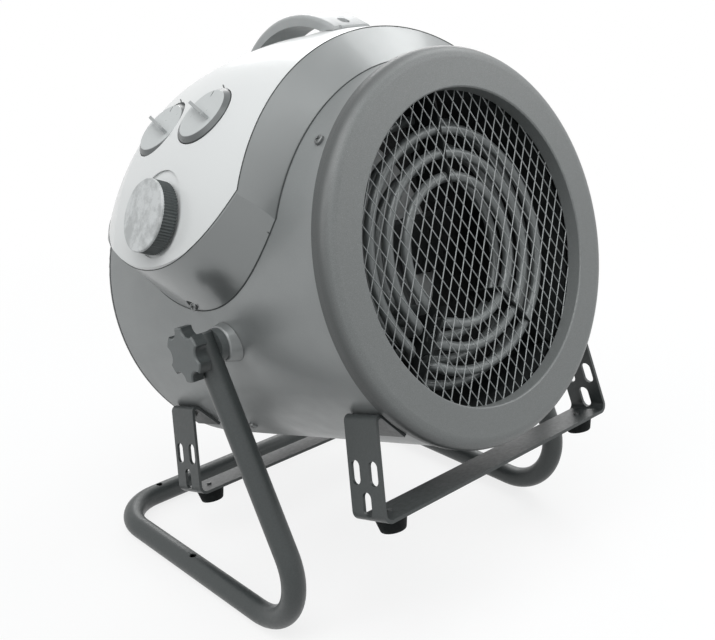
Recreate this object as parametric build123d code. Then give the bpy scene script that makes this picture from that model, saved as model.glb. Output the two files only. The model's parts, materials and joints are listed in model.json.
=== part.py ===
from build123d import *
import math
import os

# Forced air heater: a round drum that tilts between the arms of a bent tube stand.
# All sizes are in millimetres. +Z is up and the warm air leaves towards -Y.
# The drum and all that it carries are modelled about the drum axis (the Y axis, front at
# negative y) and are then tilted and lifted onto the pivot of the stand.

os.makedirs("parts", exist_ok=True)

# ---------------------------------------------------------------- fits and fasteners
skin_gap = 0.3            # between curved faces that only meet
running_gap = 0.08        # radial, a shaft or stud in its hole
screw_gap = 0.2           # radial, a screw in its clearance hole
screw_radius = 2.0
screw_head_radius = 3.8
screw_head_height = 2.6
screw_length = 9.0
cross_width = 1.0
cross_depth = 1.4

# ---------------------------------------------------------------- stance
tilt_angle = 16.9         # drum axis above level at rest
pivot_height = 225.6      # tilt bolts above the floor
axis_rise = 30.1          # drum axis above the tilt bolts

# ---------------------------------------------------------------- drum and end caps
drum_radius = 149.0
drum_sheet = 1.2
drum_front_y = -122.8
drum_rear_y = 157.0
cap_radius = 151.0
cap_front_y = -139.0
cap_rear_y = -124.3
cap_wall = 1.5
cap_corner = 10.0
cap_opening_radius = 118.7
cap_lip = 12.0
cap_sleeve = 24.0
rear_cap_y = 161.6
rear_cap_side = 3.6
rear_cap_corner = 2.5
rear_opening_radius = 125.0
rear_cap_lip = 9.6
rear_cap_sleeve = 31.0
cap_screw_y = -113.2
cap_screw_angles = (48.4, -48.4)
rear_screw_y = 143.0
rear_screw_angles = (0.0, 180.0)

# ---------------------------------------------------------------- front grille
mesh_width = 11.2         # diamond across
mesh_height = 18.9        # diamond along its long axis
mesh_strand = 1.1
mesh_sheet = 1.0
mesh_rim_radius = 127.0
retainer_sheet = 1.2
retainer_depth = 8.0

# ---------------------------------------------------------------- air duct, elements
duct_radius = 122.0
duct_sheet = 1.0
duct_front_y = -122.0
duct_rear_y = 32.0
duct_flange_y = -99.0
element_tube_radius = 4.0
element_front_radii = (56.0, 74.0, 92.0)
element_rear_radii = (65.5, 83.5, 103.0)
element_front_y = -115.0
element_rear_y = -93.0
element_elbow_radius = 10.0
element_front_gap = 20.0    # half the gap between a ring's ends
element_rear_gap = 33.0
element_tail_angle = -130.0
element_tail_end_y = -40.0
terminal_plate_y = -50.0
terminal_plate_sheet = 2.0
terminal_plate_width = 62.0
terminal_plate_inner = 44.0
support_angles = (90.0, 230.0, 310.0)
support_sheet = 1.5
support_inner = 48.0
support_front_y = -121.0
support_rear_y = -86.0
support_foot = 14.0

# ---------------------------------------------------------------- fan and motor
fan_radius = 116.0
fan_hub_radius = 30.0
fan_hub_length = 26.0
fan_front_y = -8.0
fan_blades = 5
blade_chord = 78.0
blade_sheet = 2.2
blade_pitch = 32.0
shaft_radius = 5.0
motor_radius = 43.0
motor_front_y = 22.0
motor_length = 60.0
motor_bell = 9.0
motor_bell_radius = 34.0
spider_sheet = 3.0
spider_arm_width = 24.0
spider_arms = 3
spider_disc_radius = 52.0
spider_foot = 22.0
spider_turn = 141.0       # first arm, from the top towards the control side
spider_screw_y = 71.0
guard_wire_radius = 1.6
guard_pitch = 15.5
guard_rings = 7
guard_spokes = 6
guard_disc_radius = 18.0

# ---------------------------------------------------------------- control housing
crown_radius = 191.0      # about the drum axis
crown_front_radius = 179.0
crown_rear_radius = 189.0
flank_front_y = -75.5
crown_rear_y = 75.0
nose_y = -96.5            # lowest edge of the nose, on the drum's top
nose_rake = 0.1467        # the nose's edge moves back by this for each millimetre down
nose_spread = 75.0        # angle that the nose covers, to each side of the top
nose_sink = 2.0           # of the nose's edge into the drum's outline
housing_rear_y = 158.0
housing_tail_radius = 151.6
housing_wall = 2.5
lobe_base_x = 137.0       # side section at the drum
lobe_base_low = (15.0, -17.9)
lobe_base_radius = 103.8
lobe_top_x = 198.0        # side section past the widest point
lobe_top_low = (14.0, 48.2)
lobe_top_radius = 79.2
lobe_nose_angle = 68.0    # where the arc of a section turns into its straight front
lobe_tail_angle = 38.0
section_overrun = 60.0    # of the sections above the crown
panel_edge_low = (14.0, 35.0)
panel_corner_z = 78.3
panel_edge_tail_angle = 24.0
housing_screw_y = 24.5
housing_screw_boss = 9.0
housing_screw_well = 5.6
housing_screw_seat = 3.2

# ---------------------------------------------------------------- handle and its recess
handle_width = 40.0
handle_rise = 16.8        # crest above the crown
handle_top_y = 6.5
handle_ends_y = (-49.6, 62.0)
handle_end_rises = (2.0, 1.0)
handle_sheet = 8.7        # over the fingers
handle_pad = 16.0
handle_edge = 3.0
handle_lip = 8.0          # thin lip behind the rear end
handle_lip_sheet = 2.0
handle_notch = (-12.0, 1.5)
handle_spread = 60.0      # part of the crown that the handle is fitted to
handle_seat_rise = 1.4    # screw seats above the panel
recess_half_width = 33.0
recess_y = (-34.0, 49.5)
recess_floor = 163.5
recess_wall = 2.0

# ---------------------------------------------------------------- controls
dial_angle = 43.3         # from the top towards the control side
dial_ys = (-12.0, 46.5)
dial_lean = 4.0           # spindles lean towards the front
dial_rises = (2.0, 0.5)   # dial faces above the panel
dial_radius = 21.8        # flat face
dial_skirt_radius = 25.8
dial_bevel = 3.0
dial_skirt = 3.0
dial_well_radius = 26.6
dial_well_wall = 1.5
dial_well_depth = 8.0
dial_pointer = (1.0, 5.0, 0.6)
fin_length = 34.0
fin_width = 2.4
fin_height = 7.0
fin_turn = -30.0          # from the drum axis
fin_corner = 3.5
spindle_radius = 3.0
spindle_depth = 10.0      # in its switch
switch_side = 30.0
switch_height = 20.0
bracket_sheet = 1.6
bridge_gap = 3.0          # under a dial, and round a switch
thermostat_angle = 68.1
thermostat_y = 7.0
thermostat_pocket_radius = 29.5
thermostat_pocket_depth = 1.6
thermostat_scoop = (-3.0, 8.6, 28.6)
thermostat_knob_radius = 27.4
thermostat_knob_top = 12.0
thermostat_face = 1.8
thermostat_ribs = 72
rib_depth = 0.8
thermostat_body_side = 32.0
thermostat_body_width = 26.0
thermostat_body_height = 17.0

# ---------------------------------------------------------------- wiring parts
terminal_y = 40.0
terminal_angle = -42.0
terminal_size = (46.0, 20.0, 15.0)
terminal_bore = 2.5
terminal_pitch = 10.0
cutout_y = -60.0
cutout_angle = 20.0
cutout_radius = 8.0
cutout_height = 9.0
cutout_plate = (26.0, 11.0, 1.5)

# ---------------------------------------------------------------- cable inlet
gland_angle = -60.0
gland_axis_radius = 162.0
gland_body_radius = 9.0
gland_cap_radius = 11.0
gland_bore_radius = 4.6
gland_front_y = 96.0
gland_rear_y = 161.0
gland_cap_length = 15.0
gland_nut_length = 6.0
gland_nut_radius = 11.8
gland_seat_y = 112.0
gland_seat_wall = 2.5
gland_room = 3.0          # round the cap in its seat

# ---------------------------------------------------------------- foot brackets
bracket_ys = (-105.1, 131.5)
strap_width = 34.0
strap_sheet = 2.5
strap_bottom = -169.7     # underside, below the drum axis
strap_half_span = 135.0
leg_lean = 0.158
flange_angle = 48.0       # from straight down
flange_length = 19.0
strap_bend = 3.5
strap_foot_bend = 6.0
slot_width = 9.0
slot_length = 18.0
slot_pitch = 18.8
slot_upper_z = -133.4
slot_lower_z = -155.8
foot_x = 114.0
foot_height = 12.0
foot_top_radius = 12.5
foot_base_radius = 9.5

# ---------------------------------------------------------------- tube stand
tube_radius = 9.5
tube_wall = 1.5
arm_x = 167.0             # tube centre at the pivot
rail_x = 158.8            # tube centre on the floor
front_corner_y = -118.8
rear_bar_y = 175.8
front_bend = 48.0
rear_bend = 42.0
tube_overrun = 10.0       # past the bolt
rail_hole_y = 51.0
bar_hole_x = 111.0
stand_hole_radius = 3.0

# ---------------------------------------------------------------- pivot and star knobs
stud_radius = 4.0
boss_base_radius = 18.0
boss_top_radius = 14.0
washer_sheet = 2.4
washer_radius = 13.0
nut_plate_side = 28.0
nut_plate_sheet = 3.0
nut_height = 6.5
nut_radius = 7.5
knob_outer_x = 187.4
star_radius = 21.0
star_lobes = 6
star_notch_radius = 7.0
star_notch_reach = 23.0
star_edge = 1.2


# ================================================================ helpers
def turned(points, radii=None):
    """Ring about the drum axis from a closed (radius, y) outline."""
    if radii is None:
        outline = Polyline(*points, close=True)
    else:
        outline = FilletPolyline(*points, radius=radii, close=True)
    return revolve(make_face(outline), Axis.Y)


def cylinder_y(radius, low, high, x=0.0, z=0.0):
    """Round bar along Y between two stations."""
    bar = Cylinder(radius, high - low)
    return Pos(x, (low + high) / 2, z) * Rot(90, 0, 0) * bar


def skin_plane(y, angle, radius):
    """Plane square to the drum's radius, x axis towards the front."""
    turn = math.radians(angle)
    spot = (-radius * math.sin(turn), y, radius * math.cos(turn))
    outward = (-math.sin(turn), 0, math.cos(turn))
    return Plane(origin=spot, x_dir=(0, -1, 0), z_dir=outward)


def peg(radius, low, high):
    """Round bar along local Z between two heights."""
    return Pos(0, 0, (low + high) / 2) * Cylinder(radius, high - low)


def block(length, width, low, high):
    """Box centred on local Z between two heights."""
    return Pos(0, 0, (low + high) / 2) * Box(length, width, high - low)


def mirrored(solid):
    """The same solid on the other side of the heater."""
    return mirror(solid, about=Plane.YZ)


def screw(length=screw_length):
    """Round head screw, head on local +Z, with a cross recess."""
    head = peg(screw_head_radius, 0, screw_head_height)
    head = fillet(head.edges().group_by(Axis.Z)[-1], screw_head_height * 0.45)
    shank = peg(screw_radius, -length, 0)
    arm = screw_head_radius * 1.2
    floor = screw_head_height - cross_depth
    cross = block(arm, cross_width, floor, screw_head_height + 1)
    cross += block(cross_width, arm, floor, screw_head_height + 1)
    return head + shank - cross


def joined(solids):
    """Separate solids kept side by side in one node."""
    return Compound(children=list(solids))


drum_inner_radius = drum_radius - drum_sheet
sleeve_radius = drum_inner_radius - skin_gap


# ================================================================ drum and end caps
def make_drum():
    shell = turned([
        (drum_radius, drum_front_y), (drum_radius, drum_rear_y),
        (drum_inner_radius, drum_rear_y), (drum_inner_radius, drum_front_y),
    ])
    hole = peg(screw_radius + screw_gap, drum_radius - 10, drum_radius + 10)
    for y, angles in ((cap_screw_y, cap_screw_angles), (rear_screw_y, rear_screw_angles)):
        for angle in angles:
            shell -= skin_plane(y, angle, 0) * hole
    for angle in spider_angles():
        shell -= skin_plane(spider_screw_y, angle, 0) * hole
    shell -= drum_pivot_holes()
    for y in bracket_ys:
        for side in (1, -1):
            shell -= flange_plane(y, side) * peg(screw_radius + screw_gap, -10, 10)
    for side in (1, -1):
        shell -= Plane(origin=(0, housing_screw_y, 0), z_dir=(side, 0, 0)) * hole
    return shell


def drum_pivot_holes():
    reach = drum_radius + 10
    bar = Cylinder(stud_radius + screw_gap, 2 * reach)
    return Pos(0, 0, -axis_rise) * Rot(0, 90, 0) * bar


def cap_ring(face_y, open_y, radius, opening, lip, sleeve_y, corner):
    """Pressed end cap; face_y is its outer face and open_y its edge at the drum."""
    out = 1 if face_y > open_y else -1
    wall = cap_wall * out
    inner = sleeve_radius - cap_wall
    points = [
        (radius, open_y), (radius, face_y), (opening, face_y), (opening, face_y - lip * out),
        (opening + cap_wall, face_y - lip * out), (opening + cap_wall, face_y - wall),
        (inner, face_y - wall), (inner, sleeve_y), (sleeve_radius, sleeve_y),
        (sleeve_radius, open_y),
    ]
    radii = [0, corner, cap_wall * 0.8, 0, 0, 0, 0, 0, 0, 0]
    return turned(points, radii)


def make_front_cap():
    cap = cap_ring(cap_front_y, cap_rear_y, cap_radius, cap_opening_radius, cap_lip,
                   cap_rear_y + cap_sleeve, cap_corner)
    return cap - sleeve_holes(cap_screw_y, cap_screw_angles, bracket_ys[0])


def make_rear_cap():
    open_y = rear_cap_y - rear_cap_side
    cap = cap_ring(rear_cap_y, open_y, drum_radius, rear_opening_radius, rear_cap_lip,
                   open_y - rear_cap_sleeve, rear_cap_corner)
    return cap - sleeve_holes(rear_screw_y, rear_screw_angles, bracket_ys[1])


def sleeve_holes(screw_y, screw_angles, strap_y):
    """Holes in a cap's sleeve for its own screws and for those of the strap over it."""
    hole = peg(screw_radius + skin_gap / 4, sleeve_radius - 8, sleeve_radius + 2)
    holes = [skin_plane(screw_y, angle, 0) * hole for angle in screw_angles]
    holes += [skin_plane(strap_y, 180 - side * flange_angle, 0) * hole for side in (1, -1)]
    return holes


def make_cap_screws(y, angles):
    return joined(skin_plane(y, angle, drum_radius) * screw() for angle in angles)


# ================================================================ front grille
mesh_front_y = cap_front_y + cap_lip
retainer_y = mesh_front_y + mesh_sheet


def make_front_grille():
    """Flat sheet with staggered diamond holes inside a plain rim."""
    side_gap = mesh_width * mesh_height / math.hypot(mesh_width, mesh_height)
    shrink = 1 - mesh_strand / side_gap
    half_w = mesh_width / 2
    half_h = mesh_height / 2
    diamond = make_face(Polyline((half_w * shrink, 0), (0, half_h * shrink),
                                 (-half_w * shrink, 0), (0, -half_h * shrink), close=True))
    reach = cap_opening_radius + 1.5
    field = Circle(reach)
    columns = math.ceil(reach / half_w)
    rows = math.ceil(reach / half_h)
    holes = []
    for i in range(-columns, columns + 1):
        for j in range(-rows, rows + 1):
            if (i + j) % 2:
                continue
            x = i * half_w
            z = j * half_h
            if math.hypot(x, z) + half_h < reach:
                holes.append(Pos(x, z) * diamond)
            elif math.hypot(x, z) < reach - half_w * 0.4:
                holes.append((Pos(x, z) * diamond) & field)
    sheet = Circle(mesh_rim_radius) - holes
    flat = extrude(sheet, mesh_sheet)
    return Pos(0, mesh_front_y + mesh_sheet, 0) * Rot(90, 0, 0) * flat


def make_grille_retainer():
    inner = cap_opening_radius + cap_wall
    outer = sleeve_radius - cap_wall - skin_gap
    back = retainer_y + retainer_depth
    return turned([
        (inner, retainer_y), (outer, retainer_y), (outer, back),
        (outer - retainer_sheet, back), (outer - retainer_sheet, retainer_y + retainer_sheet),
        (inner, retainer_y + retainer_sheet),
    ])


# ================================================================ duct and elements
duct_inner_radius = duct_radius - duct_sheet


def make_duct():
    flange = sleeve_radius
    return turned([
        (duct_inner_radius, duct_front_y), (duct_radius, duct_front_y),
        (duct_radius, duct_flange_y), (flange, duct_flange_y),
        (flange, duct_flange_y + duct_sheet), (duct_radius, duct_flange_y + duct_sheet),
        (duct_radius, duct_rear_y - duct_sheet), (flange, duct_rear_y - duct_sheet),
        (flange, duct_rear_y), (duct_inner_radius, duct_rear_y),
    ])


def ring_half_gap(ring_y):
    return element_front_gap if ring_y == element_front_y else element_rear_gap


def element_path(radius, ring_y):
    """Ring with both ends bent back, in a frame whose +X points at the ring's gap."""
    half = ring_half_gap(ring_y)
    lift = math.asin(half / radius)
    end = Vector(radius * math.cos(lift), ring_y, radius * math.sin(lift))
    along = Vector(-math.sin(lift), 0, math.cos(lift))
    bend = element_elbow_radius
    corner = end - along * bend
    tail_top = corner + Vector(0, bend, 0)
    middle = corner + along * bend + Vector(0, bend, 0)
    halfway = middle - (along + Vector(0, 1, 0)).normalized() * bend
    tail_end = Vector(corner.X, element_tail_end_y, corner.Z)
    far = Vector(-radius, ring_y, 0)

    def other(point):
        return Vector(point.X, point.Y, -point.Z)

    return Wire([
        Edge.make_line(tail_end, tail_top),
        Edge.make_three_point_arc(tail_top, halfway, end),
        Edge.make_three_point_arc(end, far, other(end)),
        Edge.make_three_point_arc(other(end), other(halfway), other(tail_top)),
        Edge.make_line(other(tail_top), other(tail_end)),
    ])


def make_element(radius, ring_y):
    path = element_path(radius, ring_y)
    start = Plane(origin=path @ 0, z_dir=path % 0)
    tube = sweep(start * Circle(element_tube_radius), path=path)
    return Rot(0, -element_tail_angle, 0) * tube


def element_rings():
    rings = [(radius, element_front_y) for radius in element_front_radii]
    rings += [(radius, element_rear_y) for radius in element_rear_radii]
    return rings


def make_element_supports():
    """Radial sheets with a hole for each ring and a foot along the duct."""
    outer = duct_inner_radius - skin_gap
    plates = []
    for angle in support_angles:
        depth = support_rear_y - support_front_y
        middle_y = (support_rear_y + support_front_y) / 2
        plate = Pos((outer + support_inner) / 2, middle_y, 0)
        plate *= Box(outer - support_inner, depth, support_sheet)
        foot = Pos(outer - support_sheet / 2 - 0.6, middle_y, support_foot / 2)
        plate += foot * Box(support_sheet, depth, support_foot)
        for radius, ring_y in element_rings():
            hole = Cylinder(element_tube_radius + skin_gap, 4 * support_sheet)
            plate -= Pos(radius, ring_y, 0) * hole
        plates.append(Rot(0, -angle, 0) * plate)
    return joined(plates)


def tail_offset(radius, ring_y):
    """Distances of a ring's tails from the drum axis, along and across the gap."""
    lift = math.asin(ring_half_gap(ring_y) / radius)
    reach = radius * math.cos(lift) + element_elbow_radius * math.sin(lift)
    across = ring_half_gap(ring_y) - element_elbow_radius * math.cos(lift)
    return reach, across


def make_terminal_plate():
    outer = duct_inner_radius - skin_gap
    plate = Pos((outer + terminal_plate_inner) / 2, terminal_plate_y, 0)
    plate *= Box(outer - terminal_plate_inner, terminal_plate_sheet, terminal_plate_width)
    plate &= cylinder_y(outer, terminal_plate_y - 10, terminal_plate_y + 10)
    for radius, ring_y in element_rings():
        reach, across = tail_offset(radius, ring_y)
        for side in (1, -1):
            plate -= cylinder_y(element_tube_radius + skin_gap, terminal_plate_y - 5,
                                terminal_plate_y + 5, reach, side * across)
    return Rot(0, -element_tail_angle, 0) * plate


# ================================================================ fan and motor
motor_rear_y = motor_front_y + motor_length


def make_fan():
    hub_rear_y = fan_front_y + fan_hub_length
    fan = cylinder_y(fan_hub_radius, fan_front_y, hub_rear_y)
    fan = fillet(fan.edges().group_by(Axis.Y)[0], 6)
    middle_y = (fan_front_y + hub_rear_y) / 2
    span = fan_radius - fan_hub_radius * 0.7
    blade = Pos(fan_hub_radius * 0.7 + span / 2, 0, 0)
    blade *= Rot(blade_pitch, 0, 0) * Box(span, blade_sheet, blade_chord)
    blade &= Rot(90, 0, 0) * Cylinder(fan_radius, blade_chord)
    sweep_room = fan_hub_length / 2 + 3
    blade &= Box(3 * fan_radius, 2 * sweep_room, 3 * fan_radius)
    for i in range(fan_blades):
        fan += Pos(0, middle_y, 0) * Rot(0, i * 360 / fan_blades, 0) * blade
    return fan - cylinder_y(shaft_radius, fan_front_y + 4, hub_rear_y + 1)


def make_shaft():
    return cylinder_y(shaft_radius, fan_front_y + 4, motor_rear_y - 12)


def make_motor():
    body = cylinder_y(motor_radius, motor_front_y + motor_bell, motor_rear_y - motor_bell)
    bell = cylinder_y(motor_bell_radius, motor_front_y, motor_rear_y)
    motor = fillet(body.edges().filter_by(GeomType.CIRCLE), 3) + bell
    return motor - cylinder_y(shaft_radius + running_gap, motor_front_y - 1, motor_rear_y - 10)


def make_motor_spider():
    """Plate across the motor's rear with feet folded forward along the drum's inside."""
    y = motor_rear_y
    outer = sleeve_radius
    back = y + spider_sheet
    front = back - spider_foot
    spider = cylinder_y(spider_disc_radius, y, back)
    limit = cylinder_y(outer, front, back)
    inside = cylinder_y(outer - spider_sheet, front - 5, y)
    hole = peg(screw_radius + screw_gap, outer - 10, outer + 2)
    for angle in spider_angles():
        arm = Pos((outer - 2) / 2, y + spider_sheet / 2, 0)
        arm *= Box(outer - 2, spider_sheet, spider_arm_width)
        foot = Pos(outer - 6, (front + back) / 2, 0)
        foot *= Box(20, spider_foot, spider_arm_width)
        arm += (foot & limit) - inside
        spider += Rot(0, -90 - angle, 0) * arm
        spider -= skin_plane(spider_screw_y, angle, 0) * hole
    return spider


def spider_angles():
    return [spider_turn - i * 360 / spider_arms for i in range(spider_arms)]


def make_spider_screws():
    return joined(skin_plane(spider_screw_y, angle, drum_radius) * screw()
                  for angle in spider_angles())


def make_rear_guard():
    """Wire guard: rings welded on the back of spokes, held behind the rear cap's lip."""
    ring_y = rear_cap_y - rear_cap_lip - guard_wire_radius
    spoke_y = ring_y - guard_wire_radius * 1.75
    outer = rear_opening_radius
    guard = cylinder_y(guard_disc_radius, spoke_y - 1.0, spoke_y + 1.5)
    for i in range(guard_spokes):
        spoke = Pos(outer / 2, spoke_y, 0) * Rot(0, 90, 0) * Cylinder(guard_wire_radius, outer)
        guard += Rot(0, 30 + i * 360 / guard_spokes, 0) * spoke
    turn = Pos(0, ring_y, 0) * Rot(90, 0, 0)
    for i in range(guard_rings):
        guard += turn * Torus(outer - i * guard_pitch, guard_wire_radius)
    return guard


# ================================================================ control housing
def crown_arc():
    """Centre station, centre height and radius of the arc that the crown's skin follows."""
    a = flank_front_y
    b = crown_front_radius - crown_radius
    c = (a ** 2 + crown_front_radius ** 2 - crown_radius ** 2) / 2
    d = crown_rear_y
    e = crown_rear_radius - crown_radius
    f = (d ** 2 + crown_rear_radius ** 2 - crown_radius ** 2) / 2
    cross = a * e - b * d
    centre_y = (c * e - b * f) / cross
    centre_z = (a * f - c * d) / cross
    return centre_y, centre_z, math.hypot(centre_y, crown_radius - centre_z)


def skin_radius(y):
    """Height of the crown's skin above the drum axis at a station."""
    centre_y, centre_z, radius = crown_arc()
    rise = math.sqrt(radius ** 2 - (y - centre_y) ** 2)
    return centre_z + math.copysign(rise, crown_radius - centre_z)


def crown_solid(inset, spread=360.0):
    """Solid of revolution under the crown and its rear slope, the skin moved in by inset.

    It is centred on the top, so that a full turn closes underneath, inside the drum.
    """
    front_y = flank_front_y + inset * 0.4
    foot = Vector(0, front_y)
    brow = Vector(crown_front_radius - inset, front_y)
    crown = Vector(crown_radius - inset, 0)
    rear = Vector(crown_rear_radius - inset, crown_rear_y - inset * 0.3)
    slope = Vector((crown_rear_radius + housing_tail_radius) / 2 + 3 - inset,
                   (crown_rear_y + housing_rear_y) / 2)
    tail = Vector(housing_tail_radius - inset, housing_rear_y)
    end = Vector(0, housing_rear_y)
    edges = [
        Edge.make_line(foot, brow),
        Edge.make_three_point_arc(brow, crown, rear),
        Edge.make_three_point_arc(rear, slope, tail),
        Edge.make_line(tail, end),
        Edge.make_line(end, foot),
    ]
    return Rot(0, -90 - spread / 2, 0) * revolve(Face(Wire(edges)), Axis.Y, spread)


def nose_section(radius, y, rake):
    """Arc over the top with its chord, on a plane that goes back by rake for each mm down."""
    points = []
    for angle in (-nose_spread, 0, nose_spread):
        turn = math.radians(angle)
        z = radius * math.cos(turn)
        points.append(Vector(radius * math.sin(turn), y + rake * (drum_radius - z), z))
    edges = [Edge.make_three_point_arc(*points), Edge.make_line(points[2], points[0])]
    return Face(Wire(edges))


def nose_solid(inset):
    """Straight flank between the raked edge on the drum and the front of the crown."""
    edge = nose_section(drum_radius - nose_sink, nose_y + inset * 1.2, nose_rake)
    brow = nose_section(crown_front_radius - inset, flank_front_y + inset * 0.4, 0)
    return loft([edge, brow], ruled=True)


def side_outline(x, low, radius, tail_angle, nose_angle, nose_lean):
    """Side section: an arc about its lowest point, straight ends and an open top."""
    low_y, low_z = low
    centre_z = low_z + radius
    nose = math.radians(nose_angle)
    tail = math.radians(tail_angle)
    lowest = Vector(x, low_y, low_z)
    front = Vector(x, low_y - radius * math.sin(nose), centre_z - radius * math.cos(nose))
    tangent = Vector(x, low_y + radius * math.sin(tail), centre_z - radius * math.cos(tail))
    rear_y = housing_rear_y + housing_wall * 5
    rear = Vector(x, rear_y, tangent.Z + (rear_y - tangent.Y) * math.tan(tail))
    top = crown_radius + section_overrun
    brow = Vector(x, front.Y - nose_lean * (top - front.Z), top)
    corners = [rear, Vector(x, rear_y, top), brow, front]
    edges = [Edge.make_three_point_arc(front, lowest, tangent), Edge.make_line(tangent, rear)]
    edges += [Edge.make_line(a, b) for a, b in zip(corners[:-1], corners[1:])]
    return Face(Wire(edges))


def lobe_section(x, low, radius, inset):
    """Side section of the lobes, its straight front in line with the end of the arc."""
    lean = 1 / math.tan(math.radians(lobe_nose_angle))
    return side_outline(x, (low[0], low[1] + inset), radius - inset, lobe_tail_angle,
                        lobe_nose_angle, lean)


def lobe_solid(inset):
    """What the two side sections bound: straight between the drum's sides, drawn in outside."""
    base = lobe_section(lobe_base_x, lobe_base_low, lobe_base_radius, inset)
    top = lobe_section(lobe_top_x, lobe_top_low, lobe_top_radius, inset)
    middle = extrude(Pos(-2 * lobe_base_x, 0, 0) * base, 2 * lobe_base_x, dir=(1, 0, 0))
    flare = loft([base, top], ruled=True)
    return middle + flare + mirrored(flare)


def housing_form(inset):
    return (crown_solid(inset) + nose_solid(inset)) & lobe_solid(inset)


def panel_field():
    """Everything inside the pale panel's edge, seen from the side."""
    low_y, low_z = panel_edge_low
    run = low_y - flank_front_y
    rise = panel_corner_z - low_z
    radius = (run ** 2 + rise ** 2) / (2 * rise)
    corner_angle = math.degrees(math.asin(run / radius))
    side = side_outline(-lobe_top_x, panel_edge_low, radius, panel_edge_tail_angle,
                        corner_angle, 0)
    return extrude(side, 2 * lobe_top_x, dir=(1, 0, 0))


def gland_corner():
    """Rear corner beside the gland, which the panel takes down to the drum."""
    front = gland_seat_y - gland_seat_wall
    length = housing_rear_y + 10 - front
    place = Pos(lobe_top_x / 2, front + length / 2, 0)
    return place * block(lobe_top_x, length, lobe_base_low[1], crown_radius)


def make_housing():
    """The silver saddle and the pale control panel, cut from one shell."""
    form = housing_form(0)
    drum_room = cylinder_y(drum_radius + skin_gap, drum_front_y, housing_rear_y + 5)
    shell = form - housing_form(housing_wall) - drum_room
    field = panel_field() + gland_corner()
    saddle = shell - field
    panel = shell & field
    for side in (1, -1):
        face = Plane(origin=(0, housing_screw_y, 0), z_dir=(side, 0, 0))
        seat = drum_radius + housing_screw_seat
        boss = face * peg(housing_screw_boss, drum_radius - 2, lobe_top_x)
        saddle += (boss & form) - drum_room - field
        saddle -= face * peg(housing_screw_well, seat, lobe_top_x)
        saddle -= face * peg(screw_radius + screw_gap, drum_radius - 5, lobe_top_x)
    for y in handle_screw_spots():
        skin = skin_radius(y)
        panel -= Pos(0, y, 0) * peg(screw_radius + screw_gap, skin - 10, skin + 10)
    panel = add_recess(panel, form)
    panel = add_dial_wells(panel, form)
    panel = add_thermostat_pocket(panel, form)
    panel = add_gland_seat(panel, form)
    return saddle, panel


def add_recess(panel, form):
    """Finger recess moulded into the panel under the handle."""
    length = recess_y[1] - recess_y[0]
    middle_y = (recess_y[0] + recess_y[1]) / 2
    place = Pos(0, middle_y, 0)
    wide = 2 * recess_half_width
    outer = place * block(wide + 2 * recess_wall, length + 2 * recess_wall,
                          recess_floor - recess_wall, crown_radius + 10)
    cavity = place * block(wide, length, recess_floor, crown_radius + 20)
    return panel + (outer & form) - cavity


def add_dial_wells(panel, form):
    for y in dial_ys:
        place = dial_plane(y)
        wall = place * peg(dial_well_radius + dial_well_wall, -dial_well_depth, 10)
        hole = place * peg(dial_well_radius, -2 * dial_well_depth, 20)
        panel = panel + (wall & form) - hole
    return panel


def add_thermostat_pocket(panel, form):
    """Shallow pocket under the thermostat knob, scooped out towards the top."""
    place = skin_plane(thermostat_y, thermostat_angle, skin_radius(thermostat_y))
    scoop_x, scoop_y, scoop_radius = thermostat_scoop
    floor = crown_solid(thermostat_pocket_depth)
    back = crown_solid(thermostat_pocket_depth + housing_wall)
    column = Circle(thermostat_pocket_radius) + Pos(scoop_x, scoop_y) * Circle(scoop_radius)
    column = place * extrude(column, 15, both=True)
    hole = place * peg(spindle_radius + 3, -15, 5)
    return panel + ((column & form & panel_field()) - back) - (column - floor) - hole


def gland_centre():
    turn = math.radians(gland_angle)
    return -gland_axis_radius * math.sin(turn), gland_axis_radius * math.cos(turn)


def gland_seat_pad():
    x, z = gland_centre()
    radius = gland_cap_radius + gland_room + gland_seat_wall
    return cylinder_y(radius, gland_seat_y - gland_seat_wall, housing_rear_y + 10, x, z)


def add_gland_seat(panel, form):
    """Flat seat sunk in the rear slope, square to the gland."""
    x, z = gland_centre()
    room = gland_cap_radius + gland_room
    pocket = cylinder_y(room, gland_seat_y, housing_rear_y + 20, x, z)
    hole = cylinder_y(gland_body_radius + skin_gap, gland_seat_y - 10, gland_seat_y + 10, x, z)
    drum_room = cylinder_y(drum_radius + skin_gap, nose_y, housing_rear_y + 15)
    return panel + ((gland_seat_pad() & form) - drum_room) - pocket - hole


def make_housing_screws():
    seat = drum_radius + housing_screw_seat
    return joined(Plane(origin=(side * seat, housing_screw_y, 0), z_dir=(side, 0, 0)) * screw()
                  for side in (1, -1))


# ================================================================ handle
handle_top = crown_radius + handle_rise


def handle_arch(crest_z, ends_y, end_heights, width):
    """Solid under an arc from the front end over the crest to the rear end."""
    front = Vector(0, ends_y[0], end_heights[0])
    rear = Vector(0, ends_y[1], end_heights[1])
    crest = Vector(0, handle_top_y, crest_z)
    low = recess_floor
    edges = [
        Edge.make_three_point_arc(front, crest, rear),
        Edge.make_line(rear, Vector(0, rear.Y, low)),
        Edge.make_line(Vector(0, rear.Y, low), Vector(0, front.Y, low)),
        Edge.make_line(Vector(0, front.Y, low), front),
    ]
    return extrude(Pos(-width / 2, 0, 0) * Face(Wire(edges)), width, dir=(1, 0, 0))


def handle_screw_spots():
    inset = handle_pad / 2
    return handle_ends_y[0] + inset, handle_ends_y[1] - inset


def handle_screw_seat(y):
    """Height of the screw head's seat, just above the panel's skin."""
    return skin_radius(y) + handle_seat_rise


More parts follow.
